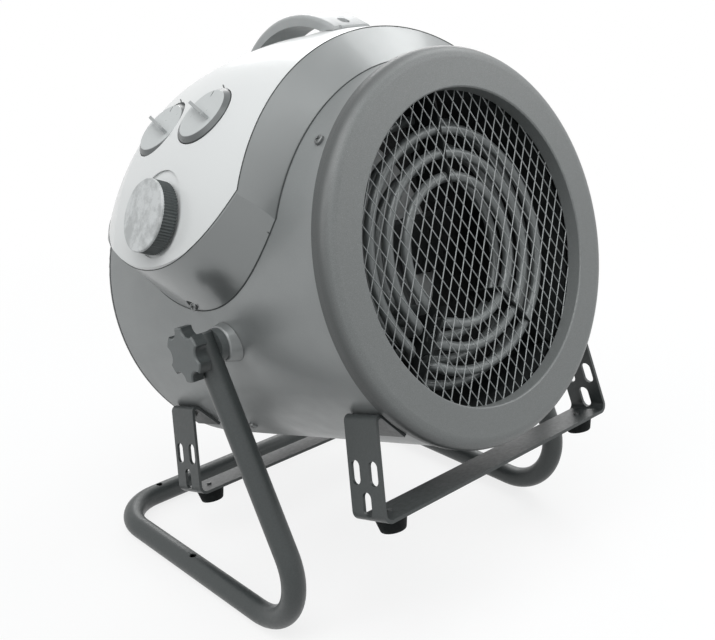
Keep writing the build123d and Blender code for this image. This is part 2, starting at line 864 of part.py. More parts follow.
def make_handle():
    heights = [skin_radius(y) + rise for y, rise in zip(handle_ends_y, handle_end_rises)]
    arch = handle_arch(handle_top, handle_ends_y, heights, handle_width)
    arch = fillet(arch.edges().filter_by(GeomType.CIRCLE), handle_edge)
    inner_ends = (handle_ends_y[0] + handle_pad, handle_ends_y[1] - handle_pad)
    inner_heights = [skin_radius(y) for y in inner_ends]
    gap = handle_arch(handle_top - handle_sheet, inner_ends, inner_heights, handle_width + 10)
    lip_y = handle_ends_y[1] + handle_lip / 2 - 1
    lip = Pos(0, lip_y, crown_radius) * Box(handle_width - 4, handle_lip + 2, 40)
    lip &= crown_solid(-skin_gap - handle_lip_sheet, handle_spread)
    notch_x, notch_radius = handle_notch
    notch = Pos(notch_x, handle_ends_y[0], 0) * peg(notch_radius, recess_floor, handle_top)
    handle = arch + lip - gap - crown_solid(-skin_gap, handle_spread) - notch
    for y in handle_screw_spots():
        seat = handle_screw_seat(y)
        handle -= Pos(0, y, 0) * peg(screw_radius + screw_gap, recess_floor, handle_top)
        handle -= Pos(0, y, 0) * peg(screw_head_radius + 0.8, seat, handle_top)
    return handle


def make_handle_screws():
    return joined(Pos(0, y, handle_screw_seat(y)) * screw() for y in handle_screw_spots())


# ================================================================ controls
def leaning_plane(y, angle, lean):
    """Plane on the crown's skin, its outward axis leaning towards the front."""
    flat = skin_plane(y, angle, skin_radius(y))
    turn = math.radians(lean)
    outward = flat.z_dir * math.cos(turn) + flat.x_dir * math.sin(turn)
    front = flat.x_dir * math.cos(turn) - flat.z_dir * math.sin(turn)
    return Plane(origin=flat.origin, x_dir=front, z_dir=outward)


def dial_plane(y):
    return leaning_plane(y, dial_angle, dial_lean)


def bridge(place, half_length, width, top, holes):
    """U shaped sheet on the drum: a plate at height top and a leg at each end."""
    foot = drum_radius - crown_radius - 2 * switch_side / 3
    plate = block(2 * half_length, width, top - bracket_sheet, top)
    for side in (1, -1):
        leg = Pos(side * (half_length - bracket_sheet / 2), 0, 0)
        plate += leg * block(bracket_sheet, width, foot, top - bracket_sheet)
    for offset in holes:
        plate -= Pos(offset, 0, 0) * peg(spindle_radius + 1.5, top - 10, top + 10)
    drum_room = cylinder_y(drum_radius + skin_gap, drum_front_y, drum_rear_y)
    return place * plate - drum_room


dial_bridge_place = dial_plane((dial_ys[0] + dial_ys[1]) / 2)
dial_backs = [rise - dial_bevel - dial_skirt for rise in dial_rises]
dial_offsets = []
dial_lifts = []
for dial_y in dial_ys:
    dial_step = dial_plane(dial_y).origin - dial_bridge_place.origin
    dial_offsets.append(dial_step.dot(dial_bridge_place.x_dir))
    dial_lifts.append(dial_step.dot(dial_bridge_place.z_dir))
dial_bridge_top = min(lift + back for lift, back in zip(dial_lifts, dial_backs)) - bridge_gap


def make_dial_bridge():
    half = max(abs(offset) for offset in dial_offsets) + switch_side / 2 + bridge_gap
    return bridge(dial_bridge_place, half, switch_side, dial_bridge_top, dial_offsets)


def make_switches():
    """Two rotary switches hung under the bridge."""
    top = dial_bridge_top - bracket_sheet
    base = top - switch_height
    switches = []
    for offset in dial_offsets:
        body = block(switch_side, switch_side, base, top)
        body = fillet(body.edges().filter_by(Axis.Z), 2)
        body -= peg(spindle_radius + running_gap, top - spindle_depth - 2, top + 1)
        switches.append(dial_bridge_place * Pos(offset, 0, 0) * body)
    return joined(switches)


def make_dial(index):
    """Dial with a bevelled skirt, a thin fin across its face and a spindle behind it."""
    face = dial_rises[index]
    back = dial_backs[index]
    disc = Pos(0, 0, face - dial_bevel / 2) * Cone(dial_skirt_radius, dial_radius, dial_bevel)
    disc += peg(dial_skirt_radius, back, face - dial_bevel)
    fin = block(fin_length, fin_width, face - 1, face + fin_height)
    fin = fillet(fin.edges().filter_by(Axis.Y).group_by(Axis.Z)[-1], fin_corner)
    tip = dial_bridge_top - dial_lifts[index] - bracket_sheet - spindle_depth
    mark_width, mark_length, mark_depth = dial_pointer
    mark = Pos(0, dial_radius - mark_length / 2 - 1, 0) * block(mark_width, mark_length,
                                                                face - mark_depth, face + 1)
    dial = disc + Rot(0, 0, fin_turn) * fin + peg(spindle_radius, tip, back + 1) - mark
    return dial_plane(dial_ys[index]) * dial


thermostat_plane = skin_plane(thermostat_y, thermostat_angle, skin_radius(thermostat_y))
knob_base = skin_gap * 2 - thermostat_pocket_depth
thermostat_bridge_top = -thermostat_pocket_depth - housing_wall - bridge_gap


def make_thermostat_knob():
    """Finely ribbed knob under a smooth face of its full width."""
    points = []
    for i in range(2 * thermostat_ribs):
        turn = math.pi * i / thermostat_ribs
        radius = thermostat_knob_radius - rib_depth * (i % 2)
        points.append((radius * math.cos(turn), radius * math.sin(turn)))
    shoulder = thermostat_knob_top - thermostat_face
    grip = extrude(make_face(Polyline(*points, close=True)), shoulder - knob_base)
    face = peg(thermostat_knob_radius, shoulder, thermostat_knob_top)
    face = fillet(face.edges().group_by(Axis.Z)[-1], thermostat_face * 0.6)
    tip = thermostat_bridge_top - bracket_sheet - spindle_depth
    knob = Pos(0, 0, knob_base) * grip + face + peg(spindle_radius, tip, knob_base + 1)
    return thermostat_plane * knob


def make_thermostat_bridge():
    half = thermostat_body_side / 2 + bridge_gap
    return bridge(thermostat_plane, half, thermostat_body_width, thermostat_bridge_top, [0])


def make_thermostat():
    top = thermostat_bridge_top - bracket_sheet
    body = block(thermostat_body_side, thermostat_body_width, top - thermostat_body_height, top)
    body = fillet(body.edges().filter_by(Axis.Z), 2)
    body -= peg(spindle_radius + running_gap, top - spindle_depth - 2, top + 1)
    return thermostat_plane * body


def make_terminal_block():
    """Mains terminals on the drum, under the housing beside the cable inlet."""
    length, width, height = terminal_size
    body = block(length, width, skin_gap, skin_gap + height)
    for i in range(4):
        offset = (i - 1.5) * terminal_pitch
        body -= Pos(offset, 0, 0) * peg(terminal_bore, skin_gap + height / 2, height + 5)
    return skin_plane(terminal_y, terminal_angle, drum_radius) * body


def make_thermal_cutout():
    """Snap disc on the outside of the duct, above the elements."""
    length, width, sheet = cutout_plate
    disc = peg(cutout_radius, skin_gap + sheet, skin_gap + cutout_height)
    disc += block(length, width, skin_gap, skin_gap + sheet)
    return skin_plane(cutout_y, cutout_angle, duct_radius) * disc


# ================================================================ cable inlet
def make_gland():
    """Gland body and its clamping cap, screwed together and sharing one bore."""
    x, z = gland_centre()
    bore = cylinder_y(gland_bore_radius, gland_front_y - 1, gland_rear_y + 1, x, z)
    body = cylinder_y(gland_body_radius, gland_front_y, gland_rear_y - gland_cap_length, x, z)
    flange = cylinder_y(gland_cap_radius, gland_seat_y, gland_seat_y + 4, x, z)
    cap_y = gland_rear_y - gland_cap_length
    cap = cylinder_y(gland_cap_radius, cap_y, gland_rear_y, x, z)
    cap = fillet(cap.edges().group_by(Axis.Y)[-1], 3)
    thread = cylinder_y(gland_body_radius - 1.0, cap_y - 1, cap_y + 6, x, z)
    return body + flange + thread - bore, cap - thread - bore


def make_gland_nut():
    x, z = gland_centre()
    high = gland_seat_y - gland_seat_wall
    hexagon = extrude(RegularPolygon(gland_nut_radius, 6), gland_nut_length)
    nut = Pos(x, high, z) * Rot(90, 0, 0) * hexagon
    return nut - cylinder_y(gland_body_radius, high - 20, high + 20, x, z)


# ================================================================ foot brackets
def flange_plane(y, side):
    """Plane on the drum's skin at the middle of a bracket flange, facing away from the drum."""
    return skin_plane(y, 180 - side * flange_angle, drum_radius)


def strap_path():
    """Centre line of a bracket, from one flange round under the drum to the other."""
    half = strap_sheet / 2
    turn = math.radians(flange_angle)
    reach = drum_radius + skin_gap + half
    touch = Vector(reach * math.sin(turn), -reach * math.cos(turn))
    along = Vector(math.cos(turn), math.sin(turn))
    leg_x = strap_half_span - half
    leg_z = strap_bottom + half
    step = (leg_x - leg_lean * (touch.Y - leg_z) - touch.X) / (along.X + leg_lean * along.Y)
    apex = touch + along * step
    tip = touch - along * flange_length
    right = [tip, apex, Vector(leg_x, leg_z)]
    left = [Vector(-point.X, point.Y) for point in reversed(right)]
    radii = [strap_bend, strap_foot_bend, strap_foot_bend, strap_bend]
    points = [(point.X, 0, point.Y) for point in right + left]
    return FilletPolyline(*points, radius=radii)


def make_bracket(y):
    path = strap_path()
    start = Plane(origin=path @ 0, x_dir=(0, 1, 0), z_dir=path % 0)
    strap = sweep(start * Rectangle(strap_width, strap_sheet), path=path)
    lean = math.degrees(math.atan(leg_lean))
    slot = extrude(SlotOverall(slot_length, slot_width, rotation=90), 12, both=True)
    spots = [(-slot_pitch / 2, slot_upper_z), (slot_pitch / 2, slot_upper_z), (0, slot_lower_z)]
    for side in (1, -1):
        for offset, z in spots:
            x = side * (strap_half_span - leg_lean * (z - strap_bottom))
            strap -= Pos(x, offset, z) * Rot(0, -side * lean, 0) * Rot(0, 0, 90) * Rot(
                90, 0, 0) * slot
        hole = skin_plane(0, 180 - side * flange_angle, drum_radius)
        strap -= hole * peg(screw_radius + screw_gap, -5, 10)
        strap -= Pos(side * foot_x, 0, strap_bottom) * peg(screw_radius + screw_gap, -2, 8)
    return Pos(0, y, 0) * strap


def make_bracket_screws():
    screws = []
    lift = skin_gap + strap_sheet
    for y in bracket_ys:
        for side in (1, -1):
            screws.append(flange_plane(y, side) * Pos(0, 0, lift) * screw())
    return joined(screws)


def foot_spots():
    return [(side * foot_x, y) for y in bracket_ys for side in (1, -1)]


def make_feet():
    feet = []
    for x, y in foot_spots():
        foot = Pos(x, y, strap_bottom - foot_height / 2)
        foot *= Cone(foot_base_radius, foot_top_radius, foot_height)
        foot = fillet(foot.edges().group_by(Axis.Z)[0], 2)
        foot -= Pos(x, y, strap_bottom - foot_height) * peg(screw_head_radius + 0.8, -1, 5)
        foot -= Pos(x, y, strap_bottom - foot_height) * peg(screw_radius + screw_gap, 0, 20)
        feet.append(foot)
    return joined(feet)


def make_foot_screws():
    head_z = strap_bottom - foot_height + 5
    return joined(Pos(x, y, head_z) * Rot(180, 0, 0) * screw(11.0) for x, y in foot_spots())


# ================================================================ pivot hardware
tube_inner_x = arm_x - tube_radius
tube_outer_x = arm_x + tube_radius
washer_x = tube_inner_x - washer_sheet
boss_x = washer_x - skin_gap
plate_x = math.sqrt(drum_inner_radius ** 2
                    - (axis_rise + nut_plate_side / 2) ** 2) - skin_gap


def pivot_frame(side):
    """Plane at the middle of the heater on the tilt axis, looking out to one side."""
    return Plane(origin=(0, 0, -axis_rise), x_dir=(0, 1, 0), z_dir=(side, 0, 0))


def make_pivot_bosses():
    bosses = []
    for side in (1, -1):
        low = drum_radius - 12
        boss = Pos(0, 0, (low + boss_x) / 2)
        boss *= Cone(boss_base_radius, boss_top_radius, boss_x - low)
        boss = fillet(boss.edges().group_by(Axis.Z)[-1], 2)
        boss -= peg(stud_radius + screw_gap, low - 1, boss_x + 1)
        bosses.append(pivot_frame(side) * boss - cylinder_y(drum_radius + skin_gap, -60, 60))
    return joined(bosses)


def make_nut_plates():
    plates = []
    for side in (1, -1):
        plate = block(nut_plate_side, nut_plate_side, plate_x - nut_plate_sheet, plate_x)
        nut_top = plate_x - nut_plate_sheet
        hexagon = Pos(0, 0, nut_top - nut_height) * extrude(RegularPolygon(nut_radius, 6),
                                                            nut_height)
        plate = plate + hexagon - peg(stud_radius + running_gap, 0, drum_radius)
        plates.append(pivot_frame(side) * plate)
    return joined(plates)


def star_outline():
    star = Circle(star_radius)
    for i in range(star_lobes):
        turn = math.radians((i + 0.5) * 360 / star_lobes + 90)
        spot = Pos(star_notch_reach * math.cos(turn), star_notch_reach * math.sin(turn))
        star -= spot * Circle(star_notch_radius)
    return star


knob_inner_x = tube_outer_x + 2 * skin_gap


def make_star_knob(side):
    body = Pos(0, 0, knob_inner_x) * extrude(star_outline(), knob_outer_x - knob_inner_x)
    body = chamfer(body.edges().group_by(Axis.Z)[-1], star_edge)
    body -= peg(stud_radius, knob_inner_x - 1, knob_outer_x - 4)
    return pivot_frame(side) * body


def make_stud(side):
    low = plate_x - nut_plate_sheet - nut_height - 2
    return pivot_frame(side) * peg(stud_radius, low, knob_outer_x - 4)


# ================================================================ tube stand
def stand_path():
    """Centre line of the tube in the floor frame, pivot above the origin."""
    arm = Vector(arm_x - rail_x, -front_corner_y, pivot_height - tube_radius).normalized()
    tip = Vector(arm_x, 0, pivot_height) + arm * tube_overrun
    right = [tip, Vector(rail_x, front_corner_y, tube_radius),
             Vector(rail_x, rear_bar_y, tube_radius)]
    left = [Vector(-point.X, point.Y, point.Z) for point in reversed(right)]
    return FilletPolyline(*(right + left), radius=[front_bend, rear_bend, rear_bend, front_bend])


def make_stand():
    path = stand_path()
    start = Plane(origin=path @ 0, z_dir=path % 0)
    tube = sweep(start * Circle(tube_radius), path=path)
    bore = sweep(start * Circle(tube_radius - tube_wall), path=path)
    tube -= bore
    hole = Pos(0, 0, pivot_height) * Rot(0, 90, 0) * Cylinder(stud_radius + running_gap,
                                                             3 * arm_x)
    tube -= hole
    for side in (1, -1):
        for x, y in ((side * rail_x, rail_hole_y), (side * bar_hole_x, rear_bar_y)):
            tube -= Pos(x, y, tube_radius) * peg(stand_hole_radius, -20, 20)
    return tube


def make_tube_plugs():
    """A plastic plug in each open end of the tube, short of the stud."""
    arm = Vector(arm_x - rail_x, -front_corner_y, pivot_height - tube_radius).normalized()
    tip = Vector(arm_x, 0, pivot_height) + arm * tube_overrun
    end = Plane(origin=tip, z_dir=arm)
    rim = tube_radius - skin_gap
    plug = end * (peg(rim, 0, 1.5) + peg(tube_radius - tube_wall - 0.1, -4, 0))
    return joined([plug, mirrored(plug)])


def make_saddle_washers():
    """Washer between the tube and the pivot boss, hollowed to seat the tube."""
    arm = Vector(arm_x - rail_x, -front_corner_y, pivot_height - tube_radius).normalized()
    washer = Plane(origin=(0, 0, pivot_height), z_dir=(1, 0, 0)) * peg(
        washer_radius, washer_x, tube_inner_x + 3.5)
    tube_room = Plane(origin=Vector(arm_x, 0, pivot_height) - arm * 40, z_dir=arm) * peg(
        tube_radius + 0.05, 0, 80)
    washer -= tube_room
    washer -= Pos(0, 0, pivot_height) * Rot(0, 90, 0) * Cylinder(stud_radius + running_gap,
                                                                3 * arm_x)
    return joined([washer, mirrored(washer)])


# ================================================================ assembly
def heater_nodes():
    saddle, panel = make_housing()
    gland_body, gland_cap = make_gland()
    nodes = {
        "drum_shell": make_drum(),
        "front_cap": make_front_cap(),
        "rear_cap": make_rear_cap(),
        "front_cap_screws": make_cap_screws(cap_screw_y, cap_screw_angles),
        "rear_cap_screws": make_cap_screws(rear_screw_y, rear_screw_angles),
        "front_grille": make_front_grille(),
        "grille_retainer": make_grille_retainer(),
        "inner_duct": make_duct(),
        "element_supports": make_element_supports(),
        "terminal_plate": make_terminal_plate(),
        "motor": make_motor(),
        "motor_spider": make_motor_spider(),
        "spider_screws": make_spider_screws(),
        "rear_guard": make_rear_guard(),
        "fan_impeller": make_fan(),
        "motor_shaft": make_shaft(),
        "control_saddle": saddle,
        "control_panel": panel,
        "housing_screws": make_housing_screws(),
        "carry_handle": make_handle(),
        "handle_screws": make_handle_screws(),
        "switch_bridge": make_dial_bridge(),
        "rotary_switches": make_switches(),
        "selector_dial_front": make_dial(0),
        "selector_dial_rear": make_dial(1),
        "thermostat_bridge": make_thermostat_bridge(),
        "thermostat_body": make_thermostat(),
        "thermostat_knob": make_thermostat_knob(),
        "thermal_cutout": make_thermal_cutout(),
        "terminal_block": make_terminal_block(),
        "cable_gland": gland_body,
        "gland_cap": gland_cap,
        "gland_nut": make_gland_nut(),
        "front_bracket": make_bracket(bracket_ys[0]),
        "rear_bracket": make_bracket(bracket_ys[1]),
        "bracket_screws": make_bracket_screws(),
        "rubber_feet": make_feet(),
        "foot_screws": make_foot_screws(),
        "pivot_bosses": make_pivot_bosses(),
        "pivot_nut_plates": make_nut_plates(),
        "star_knob_left": make_star_knob(-1),
        "star_knob_right": make_star_knob(1),
        "clamp_stud_left": make_stud(-1),
        "clamp_stud_right": make_stud(1),
    }
    names = ("inner", "middle", "outer")
    for name, radius in zip(names, element_front_radii):
        nodes["element_front_" + name] = make_element(radius, element_front_y)
    for name, radius in zip(names, element_rear_radii):
        nodes["element_rear_" + name] = make_element(radius, element_rear_y)
    return nodes


def stand_nodes():
    return {
        "stand_tube": make_stand(),
        "tube_end_plugs": make_tube_plugs(),
        "saddle_washers": make_saddle_washers(),
    }


def main():
    seat = Pos(0, 0, pivot_height) * Rot(-tilt_angle, 0, 0) * Pos(0, 0, axis_rise)
    placed = {name: seat * solid for name, solid in heater_nodes().items()}
    placed.update(stand_nodes())
    boxes = [solid.bounding_box() for solid in placed.values()]
    centre_x = (min(box.min.X for box in boxes) + max(box.max.X for box in boxes)) / 2
    centre_y = (min(box.min.Y for box in boxes) + max(box.max.Y for box in boxes)) / 2
    floor_z = min(box.min.Z for box in boxes)
    shift = Pos(-centre_x, -centre_y, -floor_z)
    for name, solid in placed.items():
        export_step(shift * solid, "parts/" + name + ".step")


main()
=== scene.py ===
"""Looks of the forced air heater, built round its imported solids.

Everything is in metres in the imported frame: +Z up, the warm air leaves towards -Y. The drum is
tilted about the star knob bolts, so pieces on it are made in drum coordinates (x across, y along
the drum axis with the front at negative y, z square to both, zero on the axis) and are then laid
into the frame by drum_to_frame. Angles round the drum are measured from its top towards the
control side (-X): a point at angle a and radius r is (-r sin a, y, r cos a).
"""

import json
import math

import bmesh
import bpy
import numpy as np
from mathutils import Matrix, Vector


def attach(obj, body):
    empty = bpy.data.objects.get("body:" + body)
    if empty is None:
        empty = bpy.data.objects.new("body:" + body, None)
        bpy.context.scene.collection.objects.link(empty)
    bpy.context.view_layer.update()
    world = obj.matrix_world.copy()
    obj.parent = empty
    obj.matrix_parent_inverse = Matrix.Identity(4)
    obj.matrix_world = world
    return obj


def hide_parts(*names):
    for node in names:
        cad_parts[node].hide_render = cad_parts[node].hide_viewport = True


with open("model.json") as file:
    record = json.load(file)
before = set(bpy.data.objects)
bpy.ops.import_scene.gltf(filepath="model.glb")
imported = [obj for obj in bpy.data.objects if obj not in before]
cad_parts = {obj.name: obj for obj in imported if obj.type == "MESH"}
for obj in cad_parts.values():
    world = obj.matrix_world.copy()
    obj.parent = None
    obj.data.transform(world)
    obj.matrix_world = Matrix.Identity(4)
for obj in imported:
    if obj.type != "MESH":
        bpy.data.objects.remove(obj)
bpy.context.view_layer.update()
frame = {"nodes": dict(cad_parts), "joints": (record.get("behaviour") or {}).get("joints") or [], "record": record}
nodes = frame["nodes"]
MM = 0.001

# ---------------------------------------------------------------- frame and camera
TILT = math.radians(16.9)
AXIS_RISE = 30.1 * MM                       # the drum's axis above the pivot
PIVOT = Vector(next(j["pos_m"] for j in frame["joints"] if j["name"] == "tilt"))
CAMERA_FROM_PIVOT = Vector((-0.5706, -0.5923, 0.2817))
CAMERA_YAW = -43.356                        # degrees, as the next two
CAMERA_PITCH = 20.195
CAMERA_ROLL = -0.572
FOCAL_PIXELS = 1023.36
IMAGE_WIDTH = 715
SENSOR_WIDTH = 36.0                         # millimetres
NEAREST_SEEN = 0.02                         # metres from the camera

# ---------------------------------------------------------------- pieces, in millimetres
MESH_FAMILIES = ((0.09296, -0.05169, 0.5095), (0.08829, 0.05316, 0.0451))  # see wire_family
MESH_REACH = 121.0
MESH_FILL = 0.995                           # part of the reach that has wires
MESH_MIDDLE_Y = -126.5
MESH_RIM_RADII = (119.6, 126.9)
MESH_RIM_HALF = 0.5                         # half its thickness
STRAND_WIDTH = 0.85
STRAND_DEPTH = 0.95
STRAND_SIDES = 6
DRUM_SKIN = 149.2
CROWN_STATIONS = ((-75.5, 179.0), (0.0, 191.0), (75.0, 189.0))      # y and radius
SLOPE_STATIONS = (CROWN_STATIONS[2], (116.5, 173.3), (158.0, 151.6))
GLAND_CORNER_Y = 109.5                      # the panel reaches down to the drum behind it
GLAND_CORNER_LIFT = 0.5                     # lowest point of the joint line above the lobe's foot
FLANK_Y, FLANK_RADIUS = CROWN_STATIONS[0]
NOSE_Y = -96.5
NOSE_RAKE = 0.1467                          # the nose goes back by this for each mm down
SADDLE_REAR_Y = 157.5
LOBE_BASE = (137.0, 15.0, -17.9, 103.8)     # x, then lowest y and z, then radius
LOBE_TOP = (198.0, 14.0, 48.2, 79.2)
LOBE_ENDS = (38.0, 68.0)                    # where the tail and the nose start, in degrees
PANEL_LOW = (14.0, 35.0, 78.3)              # lowest y and z, then z of the front corner
PANEL_TAIL = 24.0                           # slope of the straight tail, in degrees
PANEL_REAR_Y = 140.0
SADDLE_SEARCH_LOW = -40.0                   # the saddle's edge lies above it
LOBE_SEARCH = (120.0, 210.0)                # the lobes' skin lies between these x
SADDLE_SEAM_RADIUS = 0.55
PANEL_SEAM_RADIUS = 0.4
SHORTEST_STEP = 0.2                         # between two points of a joint line
DIAL_MARK_RADII = (0.3, 0.55, 0.6, 0.55, 0.3)
CAP_GAP_RADII = (147.9, 148.7)
CAP_GAP_Y = (-124.25, -122.85)
DIAL_MARKS = (((-105.6, -10.5, 158.2), (-109.7, -16.9, 154.5)),
              ((-105.6, 49.6, 159.4), (-111.5, 40.0, 155.7)))

# ---------------------------------------------------------------- skins, in metres
KNOB_TOP = 12.0                          # millimetres above the panel
KNOB_JOINT = 6.0                         # millimetres above the panel
KNOB_DISH = 1.8                          # millimetres from the top down to the face
KNOB_FACE = (KNOB_TOP - KNOB_JOINT - KNOB_DISH) * MM    # above the knob's joint
DIAL_FACES = (2.0 * MM, 0.5 * MM)        # above the dials' joints, front and rear
STAR_FACE = 27.3 * MM                    # above the clamp's joint
KNOB_BLEND = 0.0004                      # the side's tone ends this far under the face
MARBLE_BLEND = 0.0003                    # the marbling begins over this depth
DIAL_PAINTED_LIGHT_BLEND = (-0.0004, -0.0001)          # from the skirt's painted shade to the face's painted reflection
FIN_PAINTED_SHADE_BLEND = (0.0006, 0.0058)             # from the face's painted reflection to the fin's painted shade
STAR_PAINTED_LIGHT_BLEND = (-0.0012, -0.0002)          # from the sides' painted shade to the face's painted highlight
CAP_CORNER_PAINTED_SHADE = (146.0 * MM, 150.4 * MM)    # painted shade darkens the front cap over its rounded corner

# ---------------------------------------------------------------- steps of the curves
HALVINGS = 40
SADDLE_STEPS = 160
FRONT_STEPS = 60
PANEL_STEPS = 90
TAIL_STEPS = 30
CORNER_STEPS = 24
MESH_RIM_STEPS = 128
CAP_GAP_STEPS = 160
SEAM_SIDES = 6
DIAL_MARK_SIDES = 8

# ---------------------------------------------------------------- light, in watts
AMBIENT_COLOUR = (0.93, 0.98, 1.0)
AMBIENT_STRENGTH = 0.38
FLOOR_SHADE = 0.2
FLOOR_GLOW = 0.8
FLOOR_BOUNCE = 0.28
FLOOR_FADE = (0.45, 1.1)      # metres from the middle
FLOOR_REACH = 6.0             # metres
FLOOR_DROP = 0.0002           # metres under the stand
LAMPS = (                     # name, place, target, width and length, watts
    ("key", (-0.7, -0.6, 2.2), (0, 0, 0.25), (1.5, 1.3), 20),
    ("left", (-2.0, -0.05, 1.5), (0, 0, 0.25), (1.0, 1.6), 13),
    ("front", (1.65, -1.3, 1.3), (0, 0, 0.25), (1.2, 0.9), 8),
    ("crest", (1.35, -0.1, 1.75), (0, 0, 0.4), (0.8, 0.9), 7),
    ("rim", (1.5, 1.6, 1.3), (0, 0, 0.3), (1.5, 1.0), 13),
)


def drum_to_frame(points):
    """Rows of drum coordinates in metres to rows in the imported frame."""
    p = np.asarray(points, float).reshape(-1, 3)
    z = p[:, 2] + AXIS_RISE
    c, s = math.cos(TILT), math.sin(TILT)
    out = np.column_stack((p[:, 0], p[:, 1] * c + z * s, z * c - p[:, 1] * s))
    return out + np.array(PIVOT)


def make_camera():
    """Camera fitted to the photographed view, placed from the tilt's pivot."""
    yaw, pitch, roll = (math.radians(v) for v in (CAMERA_YAW, CAMERA_PITCH, CAMERA_ROLL))
    back = Vector((math.sin(yaw) * math.cos(pitch), -math.cos(yaw) * math.cos(pitch),
                   math.sin(pitch)))
    level = Vector((math.cos(yaw), math.sin(yaw), 0))
    up = back.cross(level)
    right = level * math.cos(roll) + up * math.sin(roll)
    top = up * math.cos(roll) - level * math.sin(roll)
    data = bpy.data.cameras.new("camera")
    data.sensor_width = SENSOR_WIDTH
    data.lens = FOCAL_PIXELS / IMAGE_WIDTH * data.sensor_width
    data.clip_start = NEAREST_SEEN
    camera = bpy.data.objects.new("camera", data)
    axes = Matrix((right, top, back)).transposed().to_4x4()
    camera.matrix_world = Matrix.Translation(PIVOT + CAMERA_FROM_PIVOT) @ axes
    bpy.context.scene.collection.objects.link(camera)
    bpy.context.scene.camera = camera


# ---------------------------------------------------------------- stage
def soft_light(name, place, target, size, watts):
    """White rectangular lamp, aimed at target."""
    data = bpy.data.lights.new(name, "AREA")
    data.shape = "RECTANGLE"
    data.size, data.size_y = size
    data.energy = watts
    lamp = bpy.data.objects.new(name, data)
    lamp.location = place
    aim = Vector(target) - Vector(place)
    lamp.rotation_mode = "QUATERNION"
    lamp.rotation_quaternion = aim.to_track_quat("-Z", "Y")
    bpy.context.scene.collection.objects.link(lamp)


def make_stage():
    """Even ambient light with a white backdrop for the camera, the floor and the lamps."""
    bpy.context.scene.view_settings.view_transform = "Standard"
    world = bpy.data.worlds.new("studio")
    bpy.context.scene.world = world
    world.use_nodes = True
    tree = world.node_tree
    tree.nodes.clear()
    out = tree.nodes.new("ShaderNodeOutputWorld")
    mix = tree.nodes.new("ShaderNodeMixShader")
    ambient = tree.nodes.new("ShaderNodeBackground")
    backdrop = tree.nodes.new("ShaderNodeBackground")
    ambient.inputs["Color"].default_value = (*AMBIENT_COLOUR, 1)
    ambient.inputs["Strength"].default_value = AMBIENT_STRENGTH
    backdrop.inputs["Color"].default_value = (1, 1, 1, 1)
    backdrop.inputs["Strength"].default_value = 1.0
    tree.links.new(seen_or_mirrored(tree), mix.inputs["Fac"])
    tree.links.new(ambient.outputs[0], mix.inputs[1])
    tree.links.new(backdrop.outputs[0], mix.inputs[2])
    tree.links.new(mix.outputs[0], out.inputs["Surface"])
    make_floor()
    for lamp in LAMPS:
        soft_light(*lamp)


def seen_or_mirrored(tree):
    """1 for rays from the camera, a mirror or glass, so that all of them see the backdrop."""
    path = tree.nodes.new("ShaderNodeLightPath")
    total = path.outputs["Is Camera Ray"]
    for name in ("Is Glossy Ray", "Is Transmission Ray"):
        node = tree.nodes.new("ShaderNodeMath")
        node.operation = "MAXIMUM"
        tree.links.new(total, node.inputs[0])
        tree.links.new(path.outputs[name], node.inputs[1])
        total = node.outputs[0]
    return total


def make_floor():
    """Pale sheet that keeps the shadow and fades into the backdrop away from the heater."""
    mesh = bpy.data.meshes.new("floor")
    reach = FLOOR_REACH
    mesh.from_pydata([(-reach, -reach, 0), (reach, -reach, 0), (reach, reach, 0),
                      (-reach, reach, 0)], [], [(0, 1, 2, 3)])
    floor = bpy.data.objects.new("floor", mesh)
    bpy.context.scene.collection.objects.link(floor)
    floor.location.z = -FLOOR_DROP
    s = Surface("floor_paper", (FLOOR_BOUNCE, FLOOR_BOUNCE, FLOOR_BOUNCE), 0.9)
    tree = s.tree
    shade = tree.nodes.new("ShaderNodeBsdfDiffuse")
    shade.inputs["Color"].default_value = (FLOOR_SHADE, FLOOR_SHADE, FLOOR_SHADE, 1)
    glow = tree.nodes.new("ShaderNodeEmission")
    glow.inputs["Color"].default_value = (1, 1, 1, 1)
    glow.inputs["Strength"].default_value = FLOOR_GLOW
    both = tree.nodes.new("ShaderNodeAddShader")
    tree.links.new(shade.outputs[0], both.inputs[0])
    tree.links.new(glow.outputs[0], both.inputs[1])
    white = tree.nodes.new("ShaderNodeEmission")
    white.inputs["Color"].default_value = (1, 1, 1, 1)
    white.inputs["Strength"].default_value = 1.0
    length = tree.nodes.new("ShaderNodeVectorMath")
    length.operation = "LENGTH"
    tree.links.new(s.place, length.inputs[0])
    fade = tree.nodes.new("ShaderNodeMixShader")
    tree.links.new(s.ramp(length.outputs["Value"], *FLOOR_FADE), fade.inputs["Fac"])
    tree.links.new(both.outputs[0], fade.inputs[1])
    tree.links.new(white.outputs[0], fade.inputs[2])
    choose = tree.nodes.new("ShaderNodeMixShader")
    tree.links.new(seen_or_mirrored(tree), choose.inputs["Fac"])
    tree.links.new(s.shader.outputs[0], choose.inputs[1])
    tree.links.new(fade.outputs[0], choose.inputs[2])
    tree.links.new(choose.outputs[0], tree.nodes["Material Output"].inputs["Surface"])
    floor.data.materials.append(s.material)


